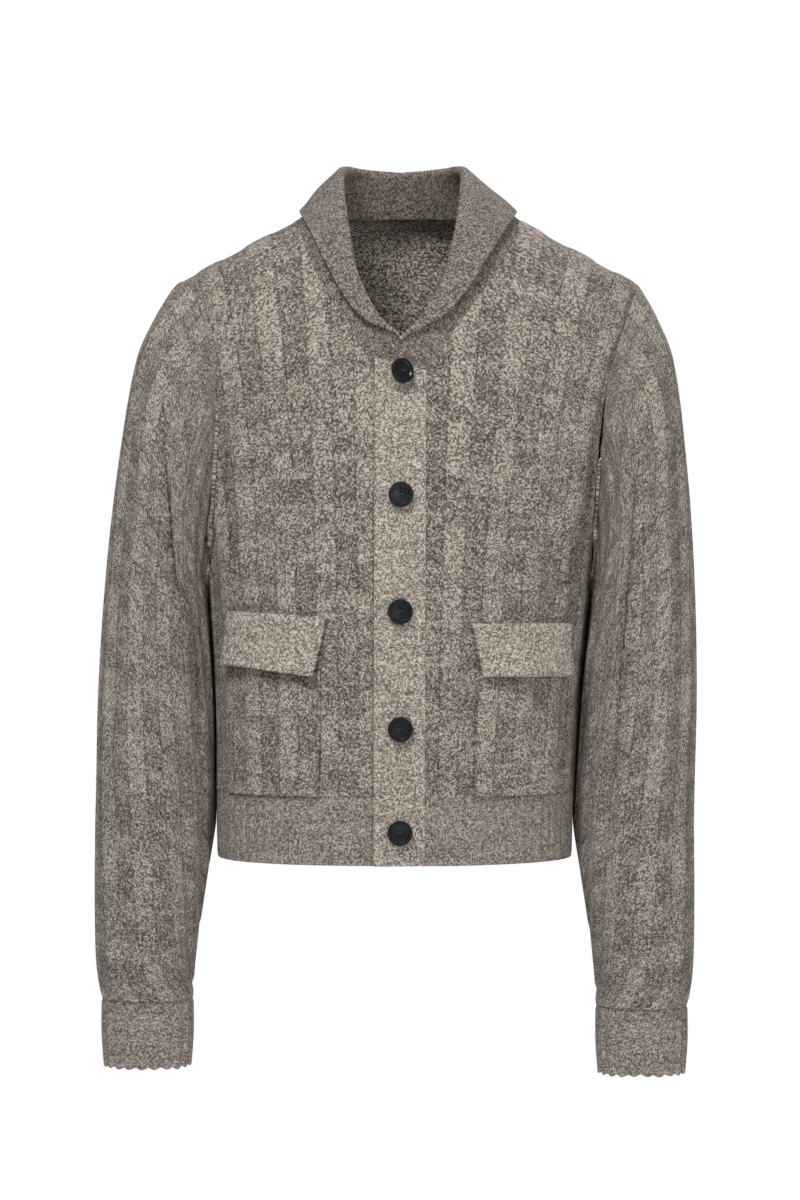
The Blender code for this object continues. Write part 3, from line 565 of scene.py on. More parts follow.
def grid_normals(points, closed=False):
    """Normals of a grid from its neighbours, rows then columns."""
    rows = len(points)
    columns = len(points[0])
    normals = []
    for r in range(rows):
        row = []
        for c in range(columns):
            if closed:
                left = points[r][(c - 1) % columns]
                right = points[r][(c + 1) % columns]
            else:
                left = points[r][max(c - 1, 0)]
                right = points[r][min(c + 1, columns - 1)]
            lower = points[max(r - 1, 0)][c]
            upper = points[min(r + 1, rows - 1)][c]
            row.append((right - left).cross(upper - lower).normalized())
        normals.append(row)
    return normals


BODY_MIDDLE = Vector((0.0, 0.0, -0.3))


def facing_out(points, uvs, inside=BODY_MIDDLE, closed=False):
    """The same grid, its columns reversed if it faced the inside point."""
    r = len(points) // 2
    c = len(points[0]) // 2
    across = points[r][c + 1] - points[r][c]
    up = points[r + 1][c] - points[r][c]
    if across.cross(up).dot(points[r][c] - inside) < 0.0:
        points = [list(reversed(row)) for row in points]
        uvs = [list(reversed(row)) for row in uvs]
        if closed:
            points = [row[-1:] + row[:-1] for row in points]
    return points, uvs


def select_only(piece):
    for other in bpy.context.selected_objects:
        other.select_set(False)
    piece.select_set(True)
    bpy.context.view_layer.objects.active = piece


def apply_all(piece):
    select_only(piece)
    for modifier in list(piece.modifiers):
        bpy.ops.object.modifier_apply(modifier=modifier.name)


WRAP = 0.05                  # a jump in a wale's place that means the tube's inner seam


def wall_of(name, points, uvs, finishes, wall, edge, closed):
    """A knitted wall whose outer face is the grid, wall thick inwards, with round edges.
    uvs are metres of cloth, across and along its wales; a closed one has one more column."""
    mesh = bpy.data.meshes.new(name)
    bm = bmesh.new()
    layer = bm.loops.layers.uv.new("cloth_metres")
    rows = len(points)
    columns = len(points[0])
    verts = [[bm.verts.new(p) for p in row] for row in points]
    for r in range(rows - 1):
        for c in range(columns if closed else columns - 1):
            corners = ((r, c), (r, c + 1), (r + 1, c + 1), (r + 1, c))
            face = bm.faces.new([verts[a][b % columns] for a, b in corners])
            start = uvs[r][c][0]
            for loop, (a, b) in zip(face.loops, corners):
                u, v = uvs[a][b]
                if abs(u - start) > WRAP:
                    u = start
                loop[layer].uv = (u, v)
            face.smooth = True
    bm.to_mesh(mesh)
    bm.free()
    for finish in finishes:
        mesh.materials.append(finish)
    piece = bpy.data.objects.new(name, mesh)
    bpy.context.scene.collection.objects.link(piece)
    thick = piece.modifiers.new("wall", "SOLIDIFY")
    thick.thickness = wall
    thick.offset = -1.0
    thick.use_even_offset = False
    thick.material_offset = len(finishes) - 1
    soft = piece.modifiers.new("edge", "BEVEL")
    soft.width = edge
    soft.segments = 2
    soft.limit_method = "ANGLE"
    soft.angle_limit = SHARP_EDGE
    apply_all(piece)
    return piece


def knit(name, points, uvs, finishes, node, wall=WALL,
         edge=EDGE_ROUND, closed=False):
    """A maker's piece of cloth: its wall, in place of the node that it stands for."""
    piece = wall_of(name, points, uvs, finishes, wall, edge, closed)
    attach(piece, "root")
    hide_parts(node)


def on_side(points, side):
    return [[leaned(p, side) for p in row] for row in points]


def drawn_in(points, edges):
    """The grid with the edges named drawn back by half the seam gap."""
    def back(p, q):
        return p + (q - p).normalized() * SEAM_GAP / 2

    moved = [list(row) for row in points]
    for edge, end, near in (("s", 0, 1), ("n", -1, -2)):
        if edge in edges:
            moved[end] = [back(p, q) for p, q in zip(points[end], points[near])]
    for edge, end, near in (("w", 0, 1), ("e", -1, -2)):
        if edge in edges:
            for row, source in zip(moved, points):
                row[end] = back(source[end], source[near])
    return moved


def with_relief(points, uvs, relief, sink=None, closed=False, step=PANEL_STEP):
    """The grid moved along its normals by a relief that fades at its edges, and moved by
    its folds straight back from the face that they are seen on."""
    normals = grid_normals(points, closed)
    rows = len(points)
    columns = len(points[0])
    moved = []
    for r in range(rows):
        row = []
        for c in range(columns):
            p = points[r][c]
            fade = edge_fade(r, c, rows, columns, closed, step)
            calm = smooth_step(abs(normals[r][c].y) / FACING_CALM)
            p = p + normals[r][c] * (relief(uvs[r][c]) + slack(p) * calm) * fade
            if sink:
                back = -math.copysign(1.0, normals[r][c].y)
                sunk, drawn = sink(points[r][c], normals[r][c])
                p.y += back * sunk * fade * calm
                p.x += math.copysign(drawn, p.x * drawn) * fade * calm
            row.append(p)
        moved.append(row)
    return moved


# ---- body pieces

def body_ribs(uv):
    return RIB_RELIEF * rib_wave(uv[0], RIB)


def no_ribs(uv):
    return 0.0


def sunk_by(folds, side_name=None):
    """The rule that sinks a point by the folds of one side, or of the side it is on."""
    def sink(p, normal):
        own = side_name or ("left" if p.x > 0.0 else "right")
        where = "front" if normal.y < 0.0 else "back"
        return fold_depth(folds, own, where, abs(p.x - lean(p.z)), p.z)
    return sink


def half_row(height, inner, outer, columns, side):
    """Points across one side of the body between two angles, and the angles."""
    angles = [inner + (outer - inner) * i / columns for i in range(columns + 1)]
    return [leaned(body_point(a, height), side) for a in angles], angles


def front_rows(side_name, heights, columns, up=0.0):
    """Rows across one front, from its inner edge to the armhole or side seam, with their
    wales, counted up from the underarm or from below it."""
    side = SIDES[side_name]
    points = []
    uvs = []
    for height in heights:
        outer = armhole_angle(ARMHOLE_FRONT[side_name], height)
        row, angles = half_row(height, neckline_angle(height), outer, columns, side)
        points.append(row)
        uvs.append([(side * wale_at(a), cloth_height(height) + up) for a in angles])
    return points, uvs


def back_rows(heights, columns):
    """Rows across the whole back, from one side seam to the other, with their wales."""
    points = []
    uvs = []
    for height in heights:
        v = cloth_height(height)
        ends = [math.pi - armhole_angle(ARMHOLE_BACK[side_name], height) for side_name in SIDES]
        left, left_angles = half_row(height, math.pi, ends[0], columns, 1)
        right, right_angles = half_row(height, math.pi, ends[1], columns, -1)
        points.append(right[:0:-1] + left)
        uvs.append([(wale_at(a) - WALE_LENGTHS[-1], v) for a in right_angles[:0:-1]]
                   + [(WALE_LENGTHS[-1] - wale_at(a), v) for a in left_angles])
    return points, uvs


def make_fronts(finishes):
    columns = round(FRONT_WIDTH / PANEL_STEP)
    for side_name in SIDES:
        points, uvs = front_rows(side_name, PANEL_HEIGHTS, columns)
        points, uvs = facing_out(drawn_in(points, "nsew"), uvs)
        points = with_relief(points, uvs, body_ribs, sunk_by(BODY_FOLDS, side_name))
        knit("knit_front_" + side_name, points, uvs, finishes, "front_" + side_name)


def make_back(finishes):
    points, uvs = back_rows(PANEL_HEIGHTS, round(BACK_HALF_WIDTH / PANEL_STEP))
    points, uvs = facing_out(drawn_in(points, "nsew"), uvs)
    uvs = [[(u + RIB / 2, v) for u, v in row] for row in uvs]
    points = with_relief(points, uvs, body_ribs, sunk_by(BODY_FOLDS))
    knit("knit_back", points, uvs, finishes, "back")


def hem_ribs(uv):
    return HEM_RELIEF * narrow_wave(uv[0], HEM_RIB)


def make_hem_bands(finishes):
    heights = spaced(HEM_Z, BAND_TOP_Z, TRIM_STEP)
    columns = round(HEM_FRONT_WIDTH / TRIM_STEP)
    for side_name in SIDES:
        points, uvs = front_rows(side_name, heights, columns, UNDERARM_Z - HEM_Z)
        points, uvs = facing_out(drawn_in(points, "new"), uvs)
        points = with_relief(points, uvs, hem_ribs, step=TRIM_STEP)
        knit("ribbed_hem_" + side_name, points, uvs, finishes,
             "hem_band_" + side_name)
    points, uvs = back_rows(heights, round(HEM_BACK_HALF_WIDTH / TRIM_STEP))
    points, uvs = facing_out(drawn_in(points, "new"), uvs)
    points = with_relief(points, uvs, hem_ribs, step=TRIM_STEP)
    knit("ribbed_hem_back", points, uvs, finishes, "hem_band_back")


# ---- sleeves and cuffs

def sleeve_climbs():
    """Climb angles round the armhole: half way between even cloth and even turns."""
    even = even_climbs(SLEEVE_TURN_STEP)
    last = len(even) - 1
    return [(even[i] + 90.0 * i / last) / 2 for i in range(last + 1)]


def ring_point(outer, inner, depth, forward, angle):
    middle = (outer + inner) / 2
    reach = (outer - inner) / 2
    return (middle + reach * math.cos(angle)
            + Vector((0.0, forward - depth * math.sin(angle), 0.0)))


def sleeve_meridians(side_name):
    """Lines from the armhole to the cuff, from the shoulder round the front and back."""
    climbs = sleeve_climbs()
    places = [(armhole_angle(ARMHOLE_FRONT[side_name], h), h, 180.0 - 2.0 * h)
              for h in reversed(climbs)]
    places += [(math.pi - armhole_angle(ARMHOLE_BACK[side_name], h), h, 180.0 + 2.0 * h)
               for h in climbs[1:-1]]
    meridians = []
    for theta, height, turn in places:
        angle = math.radians(turn)
        start = body_point(theta, height)
        under = smooth_step((math.cos(math.pi - angle) - UNDERARM_START) / UNDERARM_SPAN)
        line = [start]
        for i, (outer_x, outer_z, inner_x, inner_z, depth) in enumerate(SLEEVE_RINGS):
            share = (i + 1) / len(SLEEVE_RINGS)
            drop = CUFF_DROP[side_name] * smooth_step(share * 2.0 - 1.0)
            outer = Vector((outer_x, 0.0, outer_z - drop))
            lean_share = min(share * ARM_LEAN_RATE + ARM_LEAN_START, 1.0)
            lean_in = ARM_LEAN * math.sin(math.pi * lean_share)
            inner = Vector((inner_x - lean_in, 0.0, inner_z - drop))
            line.append(ring_point(outer, inner, depth, SLEEVE_FORWARD * share, angle))
        away = (line[1] - start).normalized()
        clear = body_normal(theta, height) * UNDERARM_CLEAR * under
        line[0] = start + away * ARMHOLE_GAP + clear
        meridians.append(line)
    return meridians


def tube_uvs(rows):
    """Wales keep their width down the tube, counted both ways from its outermost line, so
    that they are lost at its inner seam."""
    uvs = []
    heights = chord_knots([row[0] for row in rows])
    for ring, v in zip(rows, heights):
        lengths = chord_knots(ring + ring[:1])
        whole = lengths[-1]
        uvs.append([(u if u < whole / 2 else u - whole, -v) for u in lengths])
    return uvs


def pressed(rows, side):
    """The tube's rows, flattened where they would pass the side of the body."""
    for row in rows:
        for p in row:
            if p.z < UNDERARM_Z - PRESS_START:
                half = level_sizes(p.z)[0] + PRESS_GAP
                limit = half + side * lean(p.z)
                if side * p.x < limit:
                    p.x = side * limit
    return rows


def sleeve_ribs(uv):
    return SLEEVE_RELIEF * rib_wave(uv[0] + RIB / 2, RIB)


def make_sleeves(finishes):
    for side_name, side in SIDES.items():
        meridians = sleeve_meridians(side_name)
        count = round(SLEEVE_LENGTH / SLEEVE_STEP)
        lines = [(line, chord_knots(line)) for line in meridians]
        rows = []
        for r in range(count + 1):
            share = r / count
            rows.append([curve_through(line, knots, knots[-1] * share) for line, knots in lines])
        rows = on_side(rows, side)
        uvs = tube_uvs(rows)
        centre = sum(rows[count // 2], Vector()) / len(rows[0])
        rows, uvs = facing_out(rows, uvs, centre, closed=True)
        rows = with_relief(rows, uvs, sleeve_ribs, sunk_by(SLEEVE_FOLDS, side_name), closed=True)
        knit("knit_sleeve_" + side_name, pressed(rows, side), uvs, finishes,
             "sleeve_" + side_name,
             closed=True)


def make_cuffs(finishes):
    for side_name, side in SIDES.items():
        outer_x, top_z, inner_x, _, _ = SLEEVE_RINGS[-1]
        top_z -= CUFF_DROP[side_name]
        knots = [row[0] for row in CUFF_RINGS]
        sizes = [Vector(row[1:]) for row in CUFF_RINGS]
        around = round(CUFF_GIRTH / CUFF_STEP)
        ribs = round(CUFF_KNIT_GIRTH / CUFF_RIB)
        rows = []
        uvs = []
        for drop in spaced(0.0, knots[-1], TRIM_STEP):
            half, depth = curve_through(sizes, knots, drop)
            middle = Vector(((outer_x + inner_x) / 2, SLEEVE_FORWARD, top_z - SEAM_GAP - drop))
            row = []
            for i in range(around):
                angle = math.tau * i / around
                row.append(middle + Vector((half * math.cos(angle), -depth * math.sin(angle), 0.0)))
            rows.append(row)
            uvs.append([(CUFF_RIB * ribs * i / around, -drop) for i in range(around + 1)])
        rows = on_side(rows, side)
        centre = sum(rows[len(rows) // 2], Vector()) / around
        rows, uvs = facing_out(rows, uvs, centre, closed=True)

        normals = grid_normals(rows, True)
        foot = uvs[-1][0][1]
        moved = []
        for r, row in enumerate(rows):
            line = []
            for c, p in enumerate(row):
                u, v = uvs[r][c]
                wave = narrow_wave(u, CUFF_RIB)
                lip = math.exp((foot - v) / LIP_REACH)
                relief = CUFF_RELIEF * wave * smooth_step((CUFF_EDGE_START - v) / EDGE_FADE)
                drop = lip * (LIP_SCALLOP * wave + LIP_WANDER * noise.noise(p * LIP_WAVES))
                line.append(p + normals[r][c] * relief - Vector((0.0, 0.0, drop)))
            moved.append(line)
        knit("ribbed_cuff_" + side_name, moved, uvs, finishes, "cuff_" + side_name,
             closed=True)


# ---- bands and collar

def band_lift(side_name, x):
    """How far a band or collar stands in front of the body where the two bands lap.
    x counts from the wearer's middle towards the piece's own side."""
    lap = min(max((BAND_HALF - x) / (2 * BAND_HALF), 0.0), 1.0)
    return BAND_STEP * lap if side_name == "left" else -BAND_STEP * lap


def make_bands(finishes):
    xs = spaced(BAND_HALF, -BAND_HALF, BAND_ACROSS_STEP)
    heights = spaced(HEM_Z, BAND_TOP_Z, PLAIN_STEP)[:-1]
    heights += spaced(BAND_TOP_Z, UNDERARM_Z, PLAIN_STEP)[:-1]
    heights += [climb_at(BAND_HALF, z) for z in spaced(UNDERARM_Z, NECK_START_Z, PLAIN_STEP)]
    for side_name, side in SIDES.items():
        points = []
        uvs = []
        for height in heights:
            row = []
            seam = body_point(neckline_angle(height), height)
            rise = BAND_TOP_RISE * smooth_step(1.0 - (NECK_START_Z - seam.z) / BAND_TOP_BLEND)
            for x in xs:
                lift = rise * (BAND_HALF - x) / (2 * BAND_HALF)
                theta, place = front_place(x, min(seam.z, NECK_START_Z) + lift)
                point = body_point(theta, place)
                normal = body_normal(theta, place)
                point.x = x
                normal.x *= math.copysign(1.0, x)
                row.append(point + normal * band_lift(side_name, x))
            points.append(row)
            uvs.append([(side * x, point.z) for x, point in zip(xs, row)])
        points = drawn_in(on_side(points, side), "nw")
        points, uvs = facing_out(points, uvs)
        points = with_relief(points, uvs, no_ribs)
        knit("knit_band_" + side_name, points, uvs, finishes,
             "button_band_" + side_name)


COLLAR_TIP = 0.12            # the collar's sections are closest up to this share
COLLAR_TIP_STEP = 0.006
COLLAR_STEP = 0.011
COLLAR_BACK_STEP = 0.022
SHARE_STEP = 0.01            # to each side, for the way the roll runs
STAND_STEPS = 14
FOLD_STEPS = 8
FALL_STEPS = 20


def collar_stations():
    """Share, angle and climb along one half of the neckline, from the band to the back."""
    rise = 90.0 - NECK_START
    shares = spaced(0.0, COLLAR_TIP, COLLAR_TIP_STEP)[:-1] + spaced(COLLAR_TIP, 1.0, COLLAR_STEP)
    stations = [(s, neckline_angle(NECK_START + rise * s), NECK_START + rise * s) for s in shares]
    corner = math.radians(SHOULDER_TIP_ANGLE * NECK_SHARE)
    for share in spaced(0.0, 1.0, COLLAR_BACK_STEP)[1:]:
        stations.append((1.0 + share, math.pi - corner * (1.0 - share), 90.0))
    return stations


def seam_way(points, i):
    """Direction along the seam at a point, level across the back at its end."""
    if i == len(points) - 1:
        return Vector((-1.0, 0.0, 0.0))
    return (points[i + 1] - points[max(i - 1, 0)]).normalized()


def collar_row(share):
    """Roll point, roll direction, fall and flare at a share along the seam."""
    knots = [row[0] for row in COLLAR_SECTIONS]
    rolls = [Vector(row[1:4]) for row in COLLAR_SECTIONS]
    widths = [Vector(row[4:]) for row in COLLAR_SECTIONS]
    roll = curve_through(rolls, knots, share)
    ahead = curve_through(rolls, knots, min(share + SHARE_STEP, 2.0))
    behind = curve_through(rolls, knots, max(share - SHARE_STEP, 0.0))
    fall, flare = curve_through(widths, knots, share)
    direction = ahead - behind
    if share > 2.0 - SHARE_STEP:
        direction = Vector((-1.0, 0.0, 0.0))
    return roll, direction.normalized(), fall, flare


def collar_section(side_name, share, seam, normal, way):
    """One cross section of the strip, middle of the wall, from the seam to the leaf."""
    roll, roll_way, fall, flare = collar_row(share)
    if share < COLLAR_FRONT_SHARE:
        lap = 1.0 + (COLLAR_LAP - 1.0) * smooth_step(share / COLLAR_LAP_SHARE)
        roll.y -= band_lift(side_name, roll.x) * lap
    start = seam - normal * WALL / 2
    along = (roll - start).normalized()
    out = roll_way.cross(along).normalized()
    off_panel = normal.cross(way)
    room = SEAM_GAP + BACK_NECK_ROOM * smooth_step((share - BACK_ROOM_START) / BACK_ROOM_SPAN)
    start += off_panel * (room + WALL / 2 * abs(out.dot(off_panel)))
    bend = roll - along * ROLL_RADIUS
    stand = [start.lerp(bend, i / STAND_STEPS) for i in range(STAND_STEPS)]
    begin, full = FOLD_SPAN[side_name]
    turned = smooth_step((share - begin) / (full - begin))
    curl = math.pi * turned
    over_shoulder = math.exp(-((share - DROOP_MIDDLE) / DROOP_SPAN) ** 2)
    arc = ROLL_RADIUS * math.pi
    width = arc + fall - ROLL_RADIUS

    def past_bend(run):
        """The strip's middle at a run of cloth past the bend: a curl, then the leaf."""
        angle = curl * min(run, arc) / arc
        if curl < FLAT_CURL:
            return bend + along * run
        radius = arc / curl
        point = bend + along * radius * math.sin(angle) + out * radius * (1.0 - math.cos(angle))
        if run > arc:
            heading = along * math.cos(curl) + out * math.sin(curl)
            spread = (flare - 2.0 * ROLL_RADIUS) * turned * (run - arc) / (width - arc)
            point += heading * (run - arc) + out * spread
            point.z -= TIP_DROOP * over_shoulder * ((run - arc) / (width - arc)) ** 3
        return point

    curled = min(arc, width / 2)
    runs = [curled * i / FOLD_STEPS for i in range(FOLD_STEPS)]
    runs += [curled + (width - curled) * i / FALL_STEPS for i in range(FALL_STEPS + 1)]
    return stand + [past_bend(run) for run in runs]


def collar_half(side_name):
    stations = collar_stations()
    seams = [body_point(theta, height) for _, theta, height in stations]
    rows = []
    for i, (share, theta, height) in enumerate(stations):
        normal = body_normal(theta, height)
        rows.append(collar_section(side_name, share, seams[i], normal, seam_way(seams, i)))
    side = SIDES[side_name]
    half = []
    for row in rows:
        line = []
        for p in row:
            q = leaned(p, side)
            off_seam = smooth_step(((p - row[0]).length - UPRIGHT_FROM) / UPRIGHT_SPAN)
            q.x = side * p.x + (q.x - side * p.x) * (1.0 - (1.0 - COLLAR_LEAN) * off_seam)
            line.append(q)
        half.append(line)
    return half


def make_collar(finishes):
    left = collar_half("left")
    right = collar_half("right")
    middle = drawn_in(left + list(reversed(right[:-1])), "ns")
    normals = grid_normals(middle)
    if normals[0][0].y > 0.0:
        middle = [list(reversed(row)) for row in middle]
        normals = grid_normals(middle)
    rolls = chord_knots([row[STAND_STEPS] for row in middle])
    uvs = [[(u, v) for u in chord_knots(row)] for row, v in zip(middle, rolls)]
    outer = [[p + n * (WALL / 2 + noise.noise(p * COLLAR_WAVES) * COLLAR_WAVE)
              for p, n in zip(row, normal_row)] for row, normal_row in zip(middle, normals)]
    knit("knit_shawl_collar", outer, uvs, finishes, "shawl_collar",
         edge=FREE_ROUND)


# ---- pockets and flaps

def patch(side_name, foot, head, off_at, relief, step):
    """Grid over the front between a foot and a head edge: inner x, outer x, z and droop."""
    side = SIDES[side_name]
    rows = round(abs(head[2] - foot[2]) / step)
    columns = round((foot[1] - foot[0]) / step)
    points = []
    uvs = []
    for r in range(rows + 1):
        up = r / rows
        inner, outer, level, droop = (a + (b - a) * up for a, b in zip(foot, head))
        row = []
        uv_row = []
        for c in range(columns + 1):
            across = c / columns
            x = inner + (outer - inner) * across
            z = level - droop * (1.0 - across)
            theta, height = front_place(x, z)
            point = body_point(theta, height)
            row.append(point + body_normal(theta, height) * off_at(up, across))
            uv_row.append((side * wale_at(theta), z - UNDERARM_Z))
        points.append(row)
        uvs.append(uv_row)
    points = on_side(points, side)
    points, uvs = facing_out(points, uvs)
    return with_relief(points, uvs, relief, step=step), uvs


def make_pockets(rib_finishes, plain_finishes):
    for side_name in SIDES:
        foot = (POCKET_INNER, POCKET_OUTER, BAND_TOP_Z + SEAM_GAP, 0.0)
        head = (POCKET_INNER, POCKET_OUTER, POCKET_TOP_Z[side_name], 0.0)

        def pocket_off(up, across):
            edge = min(across, 1.0 - across) * (POCKET_OUTER - POCKET_INNER)
            return POCKET_OFF - POCKET_EDGE_DIP * (1.0 - smooth_step(edge / EDGE_FADE))

        points, uvs = patch(side_name, foot, head, pocket_off, body_ribs, POCKET_STEP)
        knit("knit_pocket_" + side_name, points, uvs, rib_finishes,
             "pocket_" + side_name, wall=POCKET_WALL)

        top = FLAP_TOP_Z[side_name]
        top_droop, foot_droop = FLAP_DROOP[side_name]
        foot = (*FLAP_FOOT, top - FLAP_HEIGHT, foot_droop)
        head = (*FLAP_TOP, top, top_droop)

        def flap_off(up, across):
            ends = min(across, 1.0 - across)
            free = smooth_step((1.0 - up) / FLAP_PIN_HEIGHT)
            free *= smooth_step(ends / FLAP_PIN_END + FLAP_PIN_START)
            wave = FLAP_WAVE * math.sin(across * FLAP_WAVE_TURN + len(side_name)) * (1.0 - up)
            return FLAP_OFF - FLAP_PINNED * (1.0 - free) + FLAP_STAND * (1.0 - up) ** 2 + wave

        points, uvs = patch(side_name, foot, head, flap_off, no_ribs, FLAP_STEP)
        knit("knit_flap_" + side_name, points, uvs, plain_finishes,
             "pocket_flap_" + side_name,
             wall=TRIM_WALL, edge=FREE_ROUND)


# ---- buttons

RIM_WIDTH = 0.0026
RIM_SLOPE = 0.0009
DISH = 0.0011
BACK_RING = 0.0022
TURNED_ROUND = 0.0006
TURNED_EDGE = math.radians(30)
SMOOTH_EDGE = math.radians(28)
FACING_UP = 0.9
HOLE_RADIUS = 0.0010
HOLE_SPREAD = 0.0017
DRILL_Z = 0.001
THREAD_RADIUS = 0.00045
STRAND_RADIUS = 0.6 * THREAD_RADIUS
STRAND_APART = 0.9 * THREAD_RADIUS
STRAND_SINK = 0.0006
STRAND_FLATTEN = 0.75
SHANK_RADIUS = 0.0015
SHANK_LENGTH = 0.0016
SHANK_MIDDLE = -0.0007
SHANK_STUB = 0.0012          # behind this the shank's end is drawn down into the band


def in_edit(piece, *steps):
    """Runs edit-mode steps on one piece."""
    select_only(piece)
    bpy.ops.object.mode_set(mode="EDIT")
    for step in steps:
        step()
    bpy.ops.object.mode_set(mode="OBJECT")


def pick_faces(piece, wanted):
    """Selects in edit mode the faces whose centre and normal suit."""
    bm = bmesh.from_edit_mesh(piece.data)
    for face in bm.faces:
        face.select_set(False)
    for face in bm.faces:
        if wanted(face.calc_center_median(), face.normal):
            face.select_set(True)
    bmesh.update_edit_mesh(piece.data)


def button_blank(finish):
    """A turned disc: rounded rim, dished face and four drilled holes, its face towards +Z."""
    bpy.ops.object.select_all(action="DESELECT")
    bpy.ops.mesh.primitive_cylinder_add(vertices=64, radius=BUTTON_RADIUS, depth=BUTTON_THICKNESS,
                                        location=(0.0, 0.0, BUTTON_THICKNESS / 2))
    blank = bpy.context.object
    blank.name = "button_blank"
    bpy.ops.object.transform_apply(location=True, rotation=True, scale=True)

    def dish_the_face():
        pick_faces(blank, lambda centre, normal: normal.z > FACING_UP)
        bpy.ops.mesh.inset(thickness=RIM_WIDTH, depth=0.0)
        bpy.ops.mesh.inset(thickness=RIM_SLOPE, depth=-DISH)
        pick_faces(blank, lambda centre, normal: normal.z < -FACING_UP)
        bpy.ops.mesh.inset(thickness=BACK_RING, depth=0.0)

    in_edit(blank, dish_the_face)
    bpy.ops.object.select_all(action="DESELECT")
    drills = []
    for i in range(4):
        angle = math.tau * (i + 0.5) / 4
        bpy.ops.mesh.primitive_cylinder_add(
            vertices=24, radius=HOLE_RADIUS, depth=BUTTON_THICKNESS * 2,
            location=(HOLE_SPREAD * math.cos(angle), HOLE_SPREAD * math.sin(angle), DRILL_Z))
        drills.append(bpy.context.object)
    for drill in drills:
        hole = blank.modifiers.new("hole", "BOOLEAN")
        hole.object = drill
        hole.operation = "DIFFERENCE"
        hole.solver = "EXACT"
    apply_all(blank)
    for drill in drills:
        bpy.data.objects.remove(drill)
    rim = blank.modifiers.new("turned_edges", "BEVEL")
    rim.width = TURNED_ROUND
    rim.segments = 4
    rim.limit_method = "ANGLE"
    rim.angle_limit = TURNED_EDGE
    apply_all(blank)
    select_only(blank)
    bpy.ops.object.shade_smooth_by_angle(angle=SMOOTH_EDGE)
    blank.data.materials.clear()
    blank.data.materials.append(finish)
    return blank


def thread_blank(finish):
    """Two sewn bars through the holes and the shank of thread behind the button."""
    bpy.ops.object.select_all(action="DESELECT")
    reach = HOLE_SPREAD * math.sqrt(0.5)
    seat = BUTTON_THICKNESS - DISH
    bars = []
    for side in (-1, 1):
        for strand in (-1, 0, 1):
            bpy.ops.mesh.primitive_torus_add(
                major_segments=24, minor_segments=8, major_radius=reach,
                minor_radius=STRAND_RADIUS, rotation=(0.0, math.pi / 2, 0.0),
                location=(side * reach + strand * STRAND_APART, 0.0, seat - STRAND_SINK))
            bar = bpy.context.object
            bar.scale = (STRAND_FLATTEN, 1.0, 1.0)
            bars.append(bar)
    bpy.ops.mesh.primitive_cylinder_add(vertices=16, radius=SHANK_RADIUS, depth=SHANK_LENGTH,
                                        location=(0.0, 0.0, SHANK_MIDDLE))
    bars.append(bpy.context.object)
    for bar in bars:
        bar.select_set(True)
    bpy.ops.object.transform_apply(location=True, rotation=True, scale=True)
    bpy.ops.object.join()
    thread = bpy.context.object
    thread.name = "thread_blank"
    bpy.ops.object.shade_smooth()
    thread.data.materials.clear()
    thread.data.materials.append(finish)
    return thread


def make_buttons(button_finish, thread_finish):
    button = button_blank(button_finish)
    thread = thread_blank(thread_finish)
    lap = band_lift("left", 0.0)
    for number, (z, x, turn, stand, twist) in enumerate(BUTTONS, start=1):
        theta, height = front_place(0.0, z)
        normal = body_normal(theta, height)
        seat = body_point(theta, height) + Vector((x, 0.0, 0.0))
        facing = Matrix.Rotation(math.radians(turn), 3, "Z") @ normal
        matrix = (Matrix.Translation(seat + normal * (lap + LAYER_GAP + stand))
                  @ facing.to_track_quat("Z", "Y").to_matrix().to_4x4()
                  @ Matrix.Rotation(math.radians(twist), 4, "Z"))
        root = matrix.inverted() @ (seat + normal * (lap - WALL / 2))
        face, sewn = [bpy.data.objects.new(name % number, blank.data.copy())
                      for blank, name in ((button, "button_%d_face"), (thread, "button_%d_thread"))]
        for vertex in sewn.data.vertices:
            if vertex.co.z < -SHANK_STUB:
                vertex.co = (vertex.co.x + root.x, vertex.co.y + root.y, root.z)
        for piece in (face, sewn):
            piece.data.transform(matrix)
            bpy.context.scene.collection.objects.link(piece)
            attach(piece, "root")
        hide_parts("button_%d" % number)
    for blank in (button, thread):
        bpy.data.objects.remove(blank)


# ---- finishes

def linear(code):
    """An sRGB hex colour as linear red, green, blue and alpha."""
    channels = [int(code[i:i + 2], 16) / 255.0 for i in (1, 3, 5)]
    return [c / 12.92 if c <= 0.04045 else ((c + 0.055) / 1.055) ** 2.4 for c in channels] + [1.0]


def add(tree, kind, out=0, **values):
    """Adds a node and gives one of its outputs. A value named in small letters is a setting
    of the node. Any other is an input, by its name or by an i and its number: a number, a
    colour or the output that feeds it."""
    node = tree.nodes.new("ShaderNode" + kind)
    for name, value in values.items():
        if name.islower() and not name[1:].isdigit():
            setattr(node, name, value)
            continue
        socket = node.inputs[int(name[1:]) if name[1:].isdigit() else name.replace("_", " ")]
        if isinstance(value, bpy.types.NodeSocket):
            tree.links.new(value, socket)
        else:
            socket.default_value = value
    return node.outputs[out]


def new_material(name, **values):
    """A new material with these values on its shader: itself, its tree, its shader's inputs."""
    material = bpy.data.materials.new(name)
    material.use_nodes = True
    inputs = material.node_tree.nodes["Principled BSDF"].inputs
    for key, value in values.items():
        inputs[key.replace("_", " ")].default_value = value
    return material, material.node_tree, inputs


def mottle(tree, inputs, scale, detail, *shades):
    """A base colour that wanders between two shades, in marks 1 / scale metres wide."""
    place = add(tree, "TexCoord", "Object")
    marks = add(tree, "TexNoise", Vector=place, Scale=scale, Detail=detail)
    colours = add(tree, "ValToRGB", Fac=marks)
    for stop, shade in zip(colours.node.color_ramp.elements, shades):
        stop.color = linear(shade)
    tree.links.new(colours, inputs["Base Color"])
    return place, marks


WALE = 0.0013                # one column of stitches
COURSE = 0.0010              # one row of stitches

